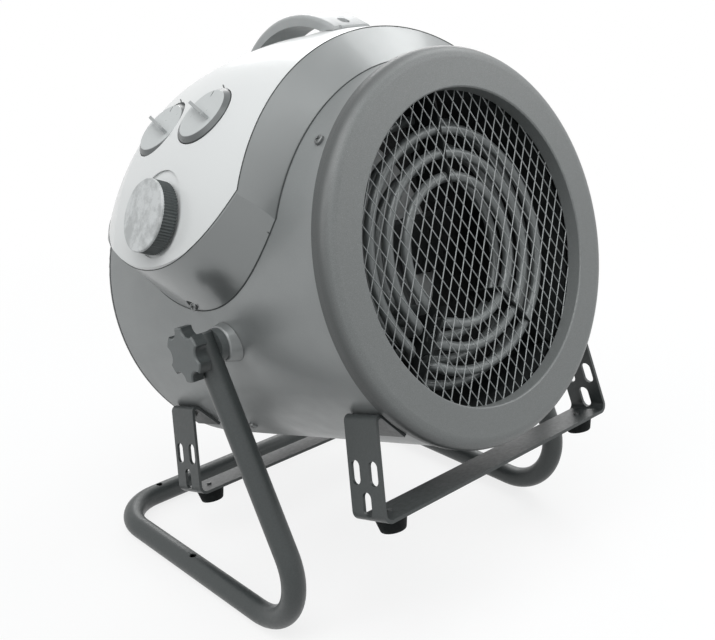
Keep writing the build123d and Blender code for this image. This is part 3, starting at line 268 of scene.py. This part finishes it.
# ---------------------------------------------------------------- materials
class Surface:
    """A node material on object coordinates, in metres."""

    def __init__(self, name, colour, roughness, metallic=0.0):
        self.material = bpy.data.materials.new(name)
        self.material.use_nodes = True
        self.tree = self.material.node_tree
        self.shader = self.tree.nodes["Principled BSDF"]
        self.shader.inputs["Base Color"].default_value = (*colour, 1)
        self.shader.inputs["Roughness"].default_value = roughness
        self.shader.inputs["Metallic"].default_value = metallic
        self.place = self.tree.nodes.new("ShaderNodeTexCoord").outputs["Object"]
        self.material.diffuse_color = (*colour, 1)

    def noise(self, scale, detail=3.0, rough=0.55):
        node = self.tree.nodes.new("ShaderNodeTexNoise")
        node.inputs["Scale"].default_value = scale
        node.inputs["Detail"].default_value = detail
        node.inputs["Roughness"].default_value = rough
        self.tree.links.new(self.place, node.inputs["Vector"])
        return node.outputs["Fac"]

    def drum_place(self):
        """Drum coordinates of the surface: the tilt is undone about the bolts."""
        turn = Matrix.Rotation(TILT, 3, "X")
        mapping = self.tree.nodes.new("ShaderNodeMapping")
        mapping.inputs["Rotation"].default_value = (TILT, 0, 0)
        mapping.inputs["Location"].default_value = -(turn @ PIVOT) - Vector((0, 0, AXIS_RISE))
        self.tree.links.new(self.place, mapping.inputs["Vector"])
        return mapping.outputs["Vector"]

    def drum_radius(self):
        """Distance of the surface from the drum's axis."""
        across = self.tree.nodes.new("ShaderNodeVectorMath")
        across.operation = "MULTIPLY"
        across.inputs[1].default_value = (1, 0, 1)
        self.tree.links.new(self.drum_place(), across.inputs[0])
        length = self.tree.nodes.new("ShaderNodeVectorMath")
        length.operation = "LENGTH"
        self.tree.links.new(across.outputs["Vector"], length.inputs[0])
        return length.outputs["Value"]

    def along(self, spot, axis):
        """Signed distance of the surface from a plane through spot, square to axis."""
        shift = self.tree.nodes.new("ShaderNodeVectorMath")
        shift.operation = "SUBTRACT"
        shift.inputs[1].default_value = spot
        self.tree.links.new(self.place, shift.inputs[0])
        dot = self.tree.nodes.new("ShaderNodeVectorMath")
        dot.operation = "DOT_PRODUCT"
        dot.inputs[1].default_value = axis
        self.tree.links.new(shift.outputs["Vector"], dot.inputs[0])
        return dot.outputs["Value"]

    def cells(self, scale):
        """Spangles of zinc."""
        node = self.tree.nodes.new("ShaderNodeTexVoronoi")
        node.inputs["Scale"].default_value = scale
        self.tree.links.new(self.place, node.inputs["Vector"])
        return node.outputs["Distance"]

    def ramp(self, source, low, high, low_value=0.0, high_value=1.0):
        """Source from low to high, spread from low_value to high_value and held outside."""
        node = self.tree.nodes.new("ShaderNodeMapRange")
        node.inputs["From Min"].default_value = low
        node.inputs["From Max"].default_value = high
        node.inputs["To Min"].default_value = low_value
        node.inputs["To Max"].default_value = high_value
        self.tree.links.new(source, node.inputs["Value"])
        return node.outputs["Result"]

    def times(self, a, b):
        node = self.tree.nodes.new("ShaderNodeMath")
        node.operation = "MULTIPLY"
        self.tree.links.new(a, node.inputs[0])
        self.tree.links.new(b, node.inputs[1])
        return node.outputs[0]

    def tint(self, amount, low, high):
        """Colour runs from low to high with amount; a second call lays over the first."""
        mix = self.tree.nodes.new("ShaderNodeMix")
        mix.data_type = "RGBA"
        target = self.shader.inputs["Base Color"]
        self.tree.links.new(amount, mix.inputs[0])
        mix.inputs[6].default_value = (*low, 1)
        mix.inputs[7].default_value = (*high, 1)
        if target.links:
            before = target.links[0].from_socket
            self.tree.links.new(before, mix.inputs[6])
        self.tree.links.new(mix.outputs[2], target)

    def gloss(self, amount, low, high):
        """Roughness from low to high over the middle half of a noise."""
        self.tree.links.new(self.ramp(amount, 0.25, 0.75, low, high),
                            self.shader.inputs["Roughness"])

    def bump(self, amount, depth, strength):
        """Fine grain, depth in metres."""
        node = self.tree.nodes.new("ShaderNodeBump")
        node.inputs["Strength"].default_value = strength
        node.inputs["Distance"].default_value = depth
        self.tree.links.new(amount, node.inputs["Height"])
        self.tree.links.new(node.outputs["Normal"], self.shader.inputs["Normal"])

    def coat(self, weight, roughness):
        self.shader.inputs["Coat Weight"].default_value = weight
        self.shader.inputs["Coat Roughness"].default_value = roughness


def silver_paint():
    s = Surface("silver_paint", (0.235, 0.247, 0.247), 0.4, 0.35)
    s.tint(s.noise(14, 2), (0.25, 0.262, 0.262), (0.3, 0.312, 0.312))
    s.tint(s.ramp(s.noise(2600, 1), 0.62, 0.78, 0.0, 0.3), (0, 0, 0), (0.5, 0.52, 0.52))
    s.gloss(s.noise(60), 0.34, 0.46)
    s.bump(s.noise(900, 2), 0.00005, 0.5)
    s.coat(0.12, 0.16)
    return s.material


def charcoal_paint():
    s = Surface("charcoal_paint", (0.16, 0.17, 0.168), 0.5, 0.1)
    s.tint(s.noise(1500, 2), (0.125, 0.133, 0.132), (0.235, 0.247, 0.245))
    s.tint(s.ramp(s.noise(2400, 1), 0.6, 0.72, 0.0, 0.5), (0, 0, 0), (0.34, 0.355, 0.35))
    # painted shade: the cap is painted darker over its rounded corner
    s.tint(s.ramp(s.drum_radius(), *CAP_CORNER_PAINTED_SHADE, 0.0, 0.72), (0, 0, 0), (0.035, 0.039, 0.039))
    s.gloss(s.noise(700), 0.38, 0.55)
    s.bump(s.noise(1300, 2), 0.00012, 0.7)
    s.coat(0.2, 0.3)
    return s.material


def frame_paint():
    s = Surface("frame_paint", (0.075, 0.084, 0.084), 0.42, 0.1)
    s.tint(s.noise(800, 2), (0.038, 0.044, 0.044), (0.062, 0.07, 0.07))
    s.gloss(s.noise(300), 0.34, 0.5)
    s.bump(s.noise(700, 2), 0.00008, 0.6)
    s.coat(0.15, 0.3)
    return s.material


def silver_plastic():
    s = Surface("silver_plastic", (0.25, 0.262, 0.262), 0.34, 0.5)
    s.tint(s.noise(9, 2), (0.235, 0.247, 0.247), (0.27, 0.282, 0.282))
    s.gloss(s.noise(40), 0.28, 0.38)
    s.bump(s.noise(1100, 2), 0.00003, 0.4)
    s.coat(0.35, 0.12)
    return s.material


def pale_plastic():
    s = Surface("pale_plastic", (0.72, 0.735, 0.73), 0.33)
    s.tint(s.noise(7, 2), (0.73, 0.742, 0.738), (0.77, 0.78, 0.776))
    s.gloss(s.noise(50), 0.28, 0.38)
    s.bump(s.noise(1400, 2), 0.00002, 0.4)
    s.coat(0.3, 0.12)
    return s.material


def grey_plastic():
    s = Surface("grey_plastic", (0.3, 0.31, 0.31), 0.38)
    s.tint(s.noise(60, 3), (0.36, 0.372, 0.372), (0.43, 0.442, 0.442))
    s.gloss(s.noise(120), 0.3, 0.44)
    s.bump(s.noise(900, 2), 0.00003, 0.4)
    return s.material


def dark_plastic():
    s = Surface("dark_plastic", (0.09, 0.1, 0.1), 0.45)
    s.tint(s.noise(500, 2), (0.085, 0.095, 0.095), (0.13, 0.14, 0.14))
    s.gloss(s.noise(300), 0.34, 0.48)
    s.bump(s.noise(1200, 2), 0.00005, 0.5)
    return s.material


def zinc_steel():
    s = Surface("zinc_steel", (0.34, 0.35, 0.35), 0.35, 0.7)
    s.tint(s.noise(500, 2), (0.12, 0.125, 0.125), (0.26, 0.27, 0.27))
    s.gloss(s.noise(800), 0.26, 0.48)
    s.bump(s.noise(1500, 2), 0.00003, 0.5)
    return s.material


def bright_wire():
    s = Surface("bright_wire", (0.32, 0.34, 0.34), 0.38, 0.3)
    s.tint(s.noise(300, 2), (0.22, 0.236, 0.236), (0.36, 0.378, 0.378))
    s.gloss(s.noise(500), 0.28, 0.45)
    s.bump(s.noise(1500, 1), 0.00003, 0.4)
    return s.material


def galvanised_sheet():
    # painted shade: the sheet is painted near black, far darker than bare zinc, for the shade inside the heater's
    # duct
    s = Surface("galvanised_sheet", (0.02, 0.022, 0.022), 0.6, 0.1)
    s.tint(s.cells(160), (0.008, 0.01, 0.01), (0.022, 0.025, 0.025))
    s.gloss(s.noise(200), 0.55, 0.75)
    s.shader.inputs["Specular IOR Level"].default_value = 0.25
    s.bump(s.noise(600, 2), 0.00003, 0.4)
    return s.material


def element_sheath():
    s = Surface("element_sheath", (0.13, 0.14, 0.14), 0.36, 0.3)
    s.tint(s.noise(120, 3), (0.16, 0.172, 0.172), (0.23, 0.245, 0.245))
    s.gloss(s.noise(300), 0.28, 0.42)
    s.bump(s.noise(1200, 2), 0.00003, 0.5)
    return s.material


def cast_alloy():
    s = Surface("cast_alloy", (0.22, 0.23, 0.23), 0.5, 0.3)
    s.tint(s.noise(250, 3), (0.1, 0.106, 0.106), (0.17, 0.178, 0.178))
    s.gloss(s.noise(300), 0.42, 0.62)
    s.bump(s.noise(700, 3), 0.00012, 0.6)
    return s.material


def black_rubber():
    s = Surface("black_rubber", (0.01, 0.012, 0.012), 0.75)
    s.tint(s.noise(400, 3), (0.006, 0.008, 0.008), (0.018, 0.02, 0.02))
    s.gloss(s.noise(300), 0.65, 0.85)
    s.bump(s.noise(900, 2), 0.00008, 0.6)
    s.shader.inputs["Specular IOR Level"].default_value = 0.15
    return s.material


def ceramic_white():
    s = Surface("ceramic_white", (0.7, 0.69, 0.66), 0.5)
    s.tint(s.noise(300, 2), (0.64, 0.63, 0.6), (0.76, 0.75, 0.72))
    s.gloss(s.noise(200), 0.42, 0.6)
    s.bump(s.noise(900, 2), 0.00004, 0.5)
    return s.material


def joint_axis(name):
    """Spot and outward direction of a joint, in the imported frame."""
    joint = next(j for j in frame["joints"] if j["name"] == name)
    return Vector(joint["pos_m"]), Vector(joint["axis"])


def knob_skin():
    """Pale marbled face on a dark ribbed side."""
    s = Surface("knob_skin", (0.07, 0.078, 0.078), 0.42)
    s.tint(s.noise(300, 2), (0.055, 0.065, 0.065), (0.09, 0.1, 0.1))
    spot, axis = joint_axis("thermostat_turn")
    height = s.along(spot, axis)
    s.tint(s.ramp(height, KNOB_FACE - KNOB_BLEND, KNOB_FACE), (0, 0, 0), (0.64, 0.655, 0.655))
    marble = s.ramp(s.noise(75, 5, 0.68), 0.42, 0.58, 0.0, 0.7)
    on_face = s.ramp(height, KNOB_FACE, KNOB_FACE + MARBLE_BLEND)
    s.tint(s.times(marble, on_face), (0, 0, 0), (0.36, 0.372, 0.372))
    s.gloss(s.noise(200), 0.3, 0.42)
    s.bump(s.noise(1200, 2), 0.00002, 0.4)
    return s.material


def painted_light_dial_skin(joint, face):
    """Grey dial in painted light: the face is painted pale as a painted reflection, the bevelled skirt keeps a
    darker painted shade, and the fin is painted darker towards its top as painted shade.
    """
    s = Surface(joint + "_skin", (0.12, 0.13, 0.13), 0.35)
    s.tint(s.noise(120, 2), (0.1, 0.108, 0.108), (0.14, 0.15, 0.15))
    spot, axis = joint_axis(joint)
    height = s.along(spot, axis)
    # painted reflection on the face over the skirt's painted shade
    on_face = s.ramp(height, face + DIAL_PAINTED_LIGHT_BLEND[0], face + DIAL_PAINTED_LIGHT_BLEND[1])
    s.tint(on_face, (0, 0, 0), (0.54, 0.56, 0.558))
    # painted shade: the fin is painted darker towards its top
    fin_painted_shade = s.ramp(height, face + FIN_PAINTED_SHADE_BLEND[0], face + FIN_PAINTED_SHADE_BLEND[1])
    s.tint(fin_painted_shade, (0, 0, 0), (0.33, 0.345, 0.345))
    s.gloss(s.noise(200), 0.26, 0.38)
    s.bump(s.noise(1200, 2), 0.00002, 0.4)
    return s.material


def painted_light_star_skin(joint):
    """Painted light: a lighter grey front face as a painted highlight, over sides painted darker as painted shade.
    """
    s = Surface(joint + "_skin", (0.05, 0.056, 0.056), 0.45)
    s.tint(s.noise(500, 2), (0.034, 0.04, 0.04), (0.056, 0.064, 0.064))
    spot, axis = joint_axis(joint)
    # painted highlight on the front face; the sides keep the darker painted shade
    on_face = s.ramp(s.along(spot, axis), STAR_FACE + STAR_PAINTED_LIGHT_BLEND[0], STAR_FACE + STAR_PAINTED_LIGHT_BLEND[1])
    s.tint(on_face, (0, 0, 0), (0.125, 0.138, 0.138))
    s.gloss(s.noise(300), 0.32, 0.46)
    s.bump(s.noise(1200, 2), 0.00005, 0.5)
    return s.material


def seam_shadow():
    s = Surface("seam_shadow", (0.045, 0.05, 0.05), 0.7)
    s.tint(s.noise(500, 2), (0.035, 0.04, 0.04), (0.06, 0.066, 0.066))
    s.gloss(s.noise(300), 0.6, 0.8)
    s.bump(s.noise(900, 1), 0.00003, 0.4)
    return s.material


def dress_cad_nodes():
    """Every node takes the material of its slot, apart from the special ones below."""
    makers = {
        "silver_paint": silver_paint, "charcoal_paint": charcoal_paint,
        "frame_paint": frame_paint, "silver_plastic": silver_plastic,
        "pale_plastic": pale_plastic, "grey_plastic": grey_plastic,
        "dark_plastic": dark_plastic, "zinc_steel": zinc_steel, "bright_wire": bright_wire,
        "galvanised_sheet": galvanised_sheet, "element_sheath": element_sheath,
        "cast_alloy": cast_alloy, "black_rubber": black_rubber, "ceramic_white": ceramic_white,
    }
    made = {name: maker() for name, maker in makers.items()}
    slots = {part["node"]: part["material_slot"] for part in frame["record"]["subparts"]}
    for name, node in nodes.items():
        node.data.materials.clear()
        node.data.materials.append(made[slots[name]])
    special = {
        "pivot_bosses": made["silver_paint"],
        "carry_handle": made["grey_plastic"],
        "star_knob_left": painted_light_star_skin("left_clamp_turn"),
        "star_knob_right": painted_light_star_skin("right_clamp_turn"),
        "thermostat_knob": knob_skin(),
        "selector_dial_front": painted_light_dial_skin("front_selector_turn", DIAL_FACES[0]),
        "selector_dial_rear": painted_light_dial_skin("rear_selector_turn", DIAL_FACES[1]),
    }
    for name, material in special.items():
        nodes[name].data.materials[0] = material
    return made


# ---------------------------------------------------------------- pieces
def new_piece(name, vertices, faces, material, body, replaced=(), smooth=False):
    """A mesh whose place is in its vertices, riding on a body."""
    mesh = bpy.data.meshes.new(name)
    mesh.from_pydata([tuple(v) for v in vertices], [], [tuple(f) for f in faces])
    mesh.update()
    if smooth:
        mesh.polygons.foreach_set("use_smooth", [True] * len(mesh.polygons))
    piece = bpy.data.objects.new(name, mesh)
    bpy.context.scene.collection.objects.link(piece)
    mesh.materials.append(material)
    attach(piece, body)
    if replaced:
        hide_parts(*replaced)
    return piece


def grid_faces(rows, columns, first=0):
    """Quads of a tube: rows round it, columns along it, closed round."""
    i, j = np.meshgrid(np.arange(rows - 1), np.arange(columns), indexing="ij")
    k = (j + 1) % columns
    quads = np.stack((i * columns + j, i * columns + k, (i + 1) * columns + k,
                      (i + 1) * columns + j), axis=-1)
    return quads.reshape(-1, 4) + first


def joined(meshes):
    """Vertices and faces of several meshes as one."""
    vertices = []
    faces = []
    first = 0
    for points, polygons in meshes:
        vertices.append(points)
        faces += [tuple(i + first for i in polygon) for polygon in polygons]
        first += len(points)
    return np.concatenate(vertices), faces


def tube_along(points, radii, sides):
    """Tube round a polyline, its ring i at points[i] in the plane square to the path.

    A ring point is p + u r cos t + v r sin t, where u and v are square to the path's
    direction and v is carried along by taking out what lies along the path.
    """
    p = np.asarray(points, float)
    along = np.gradient(p, axis=0)
    along /= np.linalg.norm(along, axis=1)[:, None]
    u = np.zeros_like(p)
    side = np.cross(along[0], (0.3, 0.9, 0.2))
    for i, direction in enumerate(along):
        side = side - direction * side.dot(direction)
        side /= np.linalg.norm(side)
        u[i] = side
    v = np.cross(along, u)
    turn = np.linspace(0, 2 * math.pi, sides, endpoint=False)
    ring = (u[:, None] * np.cos(turn)[None, :, None] + v[:, None] * np.sin(turn)[None, :, None])
    vertices = p[:, None] + ring * np.asarray(radii).reshape(-1, 1, 1)
    faces = [tuple(f) for f in grid_faces(len(p), sides)]
    faces += [tuple(range(sides))[::-1],
              tuple(range((len(p) - 1) * sides, len(p) * sides))]
    return vertices.reshape(-1, 3), faces


def wire_family(a, b, c):
    """Straight wires of one family across the mouth.

    Wire n lies where a x + b z + c = n, with x and z in millimetres of the drum; it ends on
    the circle of the rim, and its section is a flattened hexagon.
    """
    size = math.hypot(a, b)
    n = np.arange(-math.ceil(MESH_REACH * size) - 1, math.ceil(MESH_REACH * size) + 2)
    offset = (n - c) / size
    offset = offset[np.abs(offset) < MESH_REACH * MESH_FILL]
    half = np.sqrt(MESH_REACH ** 2 - offset ** 2)
    normal = np.array((a, b)) / size
    along = np.array((-b, a)) / size
    turn = np.arange(STRAND_SIDES) * 2 * math.pi / STRAND_SIDES
    wide = STRAND_WIDTH / 2 * np.cos(turn)
    deep = STRAND_DEPTH / 2 * np.sin(turn)
    ends = np.stack((-half, half), axis=1)
    flat = (offset[:, None, None, None] + wide[None, None, :, None]) * normal
    flat = flat + ends[:, :, None, None] * along
    y = MESH_MIDDLE_Y + np.broadcast_to(deep[None, None, :], flat.shape[:3])
    vertices = np.stack((flat[..., 0], y, flat[..., 1]), axis=-1).reshape(-1, 3)
    faces = []
    for wire in range(len(offset)):
        first = wire * 2 * STRAND_SIDES
        middle = first + STRAND_SIDES
        faces += [tuple(f) for f in grid_faces(2, STRAND_SIDES, first)]
        faces += [tuple(range(first, middle))[::-1],
                  tuple(range(middle, middle + STRAND_SIDES))]
    return vertices, faces


def lathe(profile, steps):
    """Closed (radius, y) outline carried round the drum's axis."""
    outline = np.asarray(profile, float)
    turn = np.linspace(0, 2 * math.pi, steps, endpoint=False)
    radius = outline[:, 0][None, :]
    vertices = np.stack((radius * np.cos(turn)[:, None],
                         np.broadcast_to(outline[:, 1][None, :], (steps, len(outline))),
                         radius * np.sin(turn)[:, None]), axis=-1)
    i, j = np.meshgrid(np.arange(steps), np.arange(len(outline)), indexing="ij")
    i2, j2 = (i + 1) % steps, (j + 1) % len(outline)
    count = len(outline)
    faces = np.stack((i * count + j, i * count + j2, i2 * count + j2, i2 * count + j), axis=-1)
    return vertices.reshape(-1, 3), [tuple(f) for f in faces.reshape(-1, 4)]


def make_wire_mesh(material):
    """Diamond mesh of thin strands in a flat rim, behind the lip of the front cap."""
    inner, outer = MESH_RIM_RADII
    front, rear = MESH_MIDDLE_Y - MESH_RIM_HALF, MESH_MIDDLE_Y + MESH_RIM_HALF
    rim = [(inner, front), (inner, rear), (outer, rear), (outer, front)]
    families = [wire_family(*family) for family in MESH_FAMILIES]
    vertices, faces = joined([*families, lathe(rim, MESH_RIM_STEPS)])
    piece = new_piece("wire_mesh", drum_to_frame(vertices * MM), faces, material, "heater",
                      ["front_grille"])
    turn_outward(piece)


def skin_radius(stations, y):
    """Radius of the housing's skin at y, on the circle through three stations.

    The circle's centre (yc, rc) is as far from each station, which gives two straight lines
    that meet in it; its radius is R, and the skin lies at rc + sqrt(R^2 - (y - yc)^2).
    """
    (y1, r1), (y2, r2), (y3, r3) = stations
    lines = np.array(((y2 - y1, r2 - r1), (y3 - y1, r3 - r1)))
    squares = np.array((y2 ** 2 - y1 ** 2 + r2 ** 2 - r1 ** 2,
                        y3 ** 2 - y1 ** 2 + r3 ** 2 - r1 ** 2))
    centre_y, centre_r = np.linalg.solve(lines, squares / 2)
    radius = math.hypot(y1 - centre_y, r1 - centre_r)
    return centre_r + np.sqrt(radius ** 2 - (y - centre_y) ** 2)


def lobe_low(x, y):
    """Height of the lobes' underside at (x, y): an arc, then a straight tail or nose.

    The section's lowest point and radius run straight from the base to the top section.
    """
    t = (x - LOBE_BASE[0]) / (LOBE_TOP[0] - LOBE_BASE[0])
    low_y = LOBE_BASE[1] + t * (LOBE_TOP[1] - LOBE_BASE[1])
    low_z = LOBE_BASE[2] + t * (LOBE_TOP[2] - LOBE_BASE[2])
    radius = LOBE_BASE[3] + t * (LOBE_TOP[3] - LOBE_BASE[3])
    tail, nose = (math.radians(v) for v in LOBE_ENDS)
    run = np.clip(y - low_y, -radius * math.sin(nose), radius * math.sin(tail))
    arc = low_z + radius - np.sqrt(radius ** 2 - run ** 2)
    past = (y - low_y) - run
    return arc + np.where(past > 0, past * math.tan(tail), -past * math.tan(nose))


def halved(function, low, high):
    """Root of an increasing function between two arrays, by halving the interval."""
    for _ in range(HALVINGS):
        middle = (low + high) / 2
        above = function(middle) > 0
        low, high = np.where(above, low, middle), np.where(above, middle, high)
    return (low + high) / 2


def saddle_edge():
    """Where the underside of the lobes meets the drum, from the rear to the nose's corner."""
    y = np.linspace(SADDLE_REAR_Y, NOSE_Y, SADDLE_STEPS)

    def clear(z):
        x = np.sqrt(np.maximum(DRUM_SKIN ** 2 - z ** 2, 0))
        return z - lobe_low(x, y)

    z = halved(clear, np.full_like(y, SADDLE_SEARCH_LOW), np.full_like(y, DRUM_SKIN))
    nose_y = NOSE_Y + NOSE_RAKE * (DRUM_SKIN - z)
    keep = y > nose_y
    z_corner = z[keep][-1]
    y, z = y[keep], z[keep]
    turn = np.linspace(math.acos(z_corner / DRUM_SKIN), 0, FRONT_STEPS)
    z_nose = DRUM_SKIN * np.cos(turn)
    y = np.concatenate((y, NOSE_Y + NOSE_RAKE * (DRUM_SKIN - z_nose)))
    z = np.concatenate((z, z_nose))
    return np.column_stack((-np.sqrt(np.maximum(DRUM_SKIN ** 2 - z ** 2, 0)), y, z))


def panel_edge():
    """The pale panel's edge on the housing's skin, from the rear to the middle of the front."""
    low_y, low_z, corner_z = PANEL_LOW
    run = low_y - FLANK_Y
    rise = corner_z - low_z
    radius = (run ** 2 + rise ** 2) / (2 * rise)
    tail = math.radians(PANEL_TAIL)
    turn = np.linspace(tail, -math.asin(run / radius), PANEL_STEPS)
    tangent_y = low_y + radius * math.sin(tail)
    tangent_z = low_z + radius * (1 - math.cos(tail))
    y_tail = np.linspace(PANEL_REAR_Y, tangent_y, TAIL_STEPS)
    y = np.concatenate((y_tail, low_y + radius * np.sin(turn)))
    z = np.concatenate((tangent_z + (y_tail - tangent_y) * math.tan(tail),
                        low_z + radius * (1 - np.cos(turn))))

    def below(x):
        return lobe_low(x, y) - z

    x_lobe = halved(below, *(np.full_like(y, x) for x in LOBE_SEARCH))
    slope_y = SLOPE_STATIONS[0][0]
    skin = np.where(y < slope_y, skin_radius(CROWN_STATIONS, np.minimum(y, slope_y)),
                    skin_radius(SLOPE_STATIONS, np.maximum(y, slope_y)))
    x_crown = np.sqrt(np.maximum(skin ** 2 - z ** 2, 0))
    x = np.minimum(x_lobe, x_crown)
    front = np.linspace(math.acos(corner_z / FLANK_RADIUS), 0, FRONT_STEPS)
    x = np.concatenate((x, FLANK_RADIUS * np.sin(front)))
    y = np.concatenate((y, np.full_like(front, FLANK_Y)))
    z = np.concatenate((z, FLANK_RADIUS * np.cos(front)))
    return np.column_stack((-x, y, z))


def both_sides(left_half):
    """An edge and its mirror image as one path, from the rear left to the rear right."""
    right_half = left_half[::-1] * np.array((-1, 1, 1))
    return np.concatenate((left_half, right_half[1:]))


def down_to_drum(path):
    """The panel's edge, turned down to the drum where the gland's corner starts."""
    stop = np.flatnonzero((path[:, 0] > 0) & (path[:, 1] > GLAND_CORNER_Y))[0]
    foot = float(lobe_low(DRUM_SKIN, GLAND_CORNER_Y)) + GLAND_CORNER_LIFT
    z = np.linspace(path[stop - 1, 2], foot, CORNER_STEPS)
    y = np.full_like(z, GLAND_CORNER_Y)

    def below(x):
        return lobe_low(x, y) - z

    x = halved(below, *(np.full_like(y, x) for x in LOBE_SEARCH))
    x = np.minimum(x, np.sqrt(skin_radius(SLOPE_STATIONS, GLAND_CORNER_Y) ** 2 - z ** 2))
    return np.concatenate((path[:stop], np.column_stack((x, y, z))))


def make_seam_shadow(name, path, radius, material):
    """Thin dark joint line of painted shadow: a fine tube along an edge."""
    step = np.linalg.norm(np.diff(path, axis=0), axis=1)
    path = path[np.concatenate(([True], step > SHORTEST_STEP))]
    vertices, faces = tube_along(path * MM, np.full(len(path), radius * MM), SEAM_SIDES)
    piece = new_piece(name, drum_to_frame(vertices), faces, material, "heater",
                      smooth=True)
    turn_outward(piece)


def make_dial_notch_shade(material):
    """Short dark tubes of painted shade for the notches beside the dials, half sunk in the panel's skin."""
    radii = np.array(DIAL_MARK_RADII)
    vertices, faces = joined([tube_along(np.linspace(start, end, len(radii)), radii,
                                         DIAL_MARK_SIDES) for start, end in DIAL_MARKS])
    piece = new_piece("dial_marks", drum_to_frame(vertices * MM), faces, material, "heater",
                      smooth=True)
    turn_outward(piece)


def make_cap_gap_shadow(material):
    """Dark ring of painted shadow in the joint between the front cap and the drum."""
    inner, outer = CAP_GAP_RADII
    front, rear = CAP_GAP_Y
    outline = [(inner, front), (outer, front), (outer, rear), (inner, rear)]
    vertices, faces = lathe(outline, CAP_GAP_STEPS)
    piece = new_piece("cap_gap", drum_to_frame(vertices * MM), faces, material, "heater")
    turn_outward(piece)


def turn_outward(piece):
    """Turns the faces of a closed mesh outward."""
    work = bmesh.new()
    work.from_mesh(piece.data)
    bmesh.ops.recalc_face_normals(work, faces=work.faces)
    work.to_mesh(piece.data)
    work.free()


# ---------------------------------------------------------------- scene
make_camera()
make_stage()
materials = dress_cad_nodes()
make_wire_mesh(materials["bright_wire"])
shadow = seam_shadow()
# painted shadow: dark tubes along the saddle's and the panel's joint lines
make_seam_shadow("saddle_seam", both_sides(saddle_edge()), SADDLE_SEAM_RADIUS, shadow)
make_seam_shadow("panel_seam", down_to_drum(both_sides(panel_edge())), PANEL_SEAM_RADIUS, shadow)
# painted shadow: a dark ring in the cap's joint
make_cap_gap_shadow(shadow)
# painted shade: dark tubes in the notches beside the dials
make_dial_notch_shade(shadow)
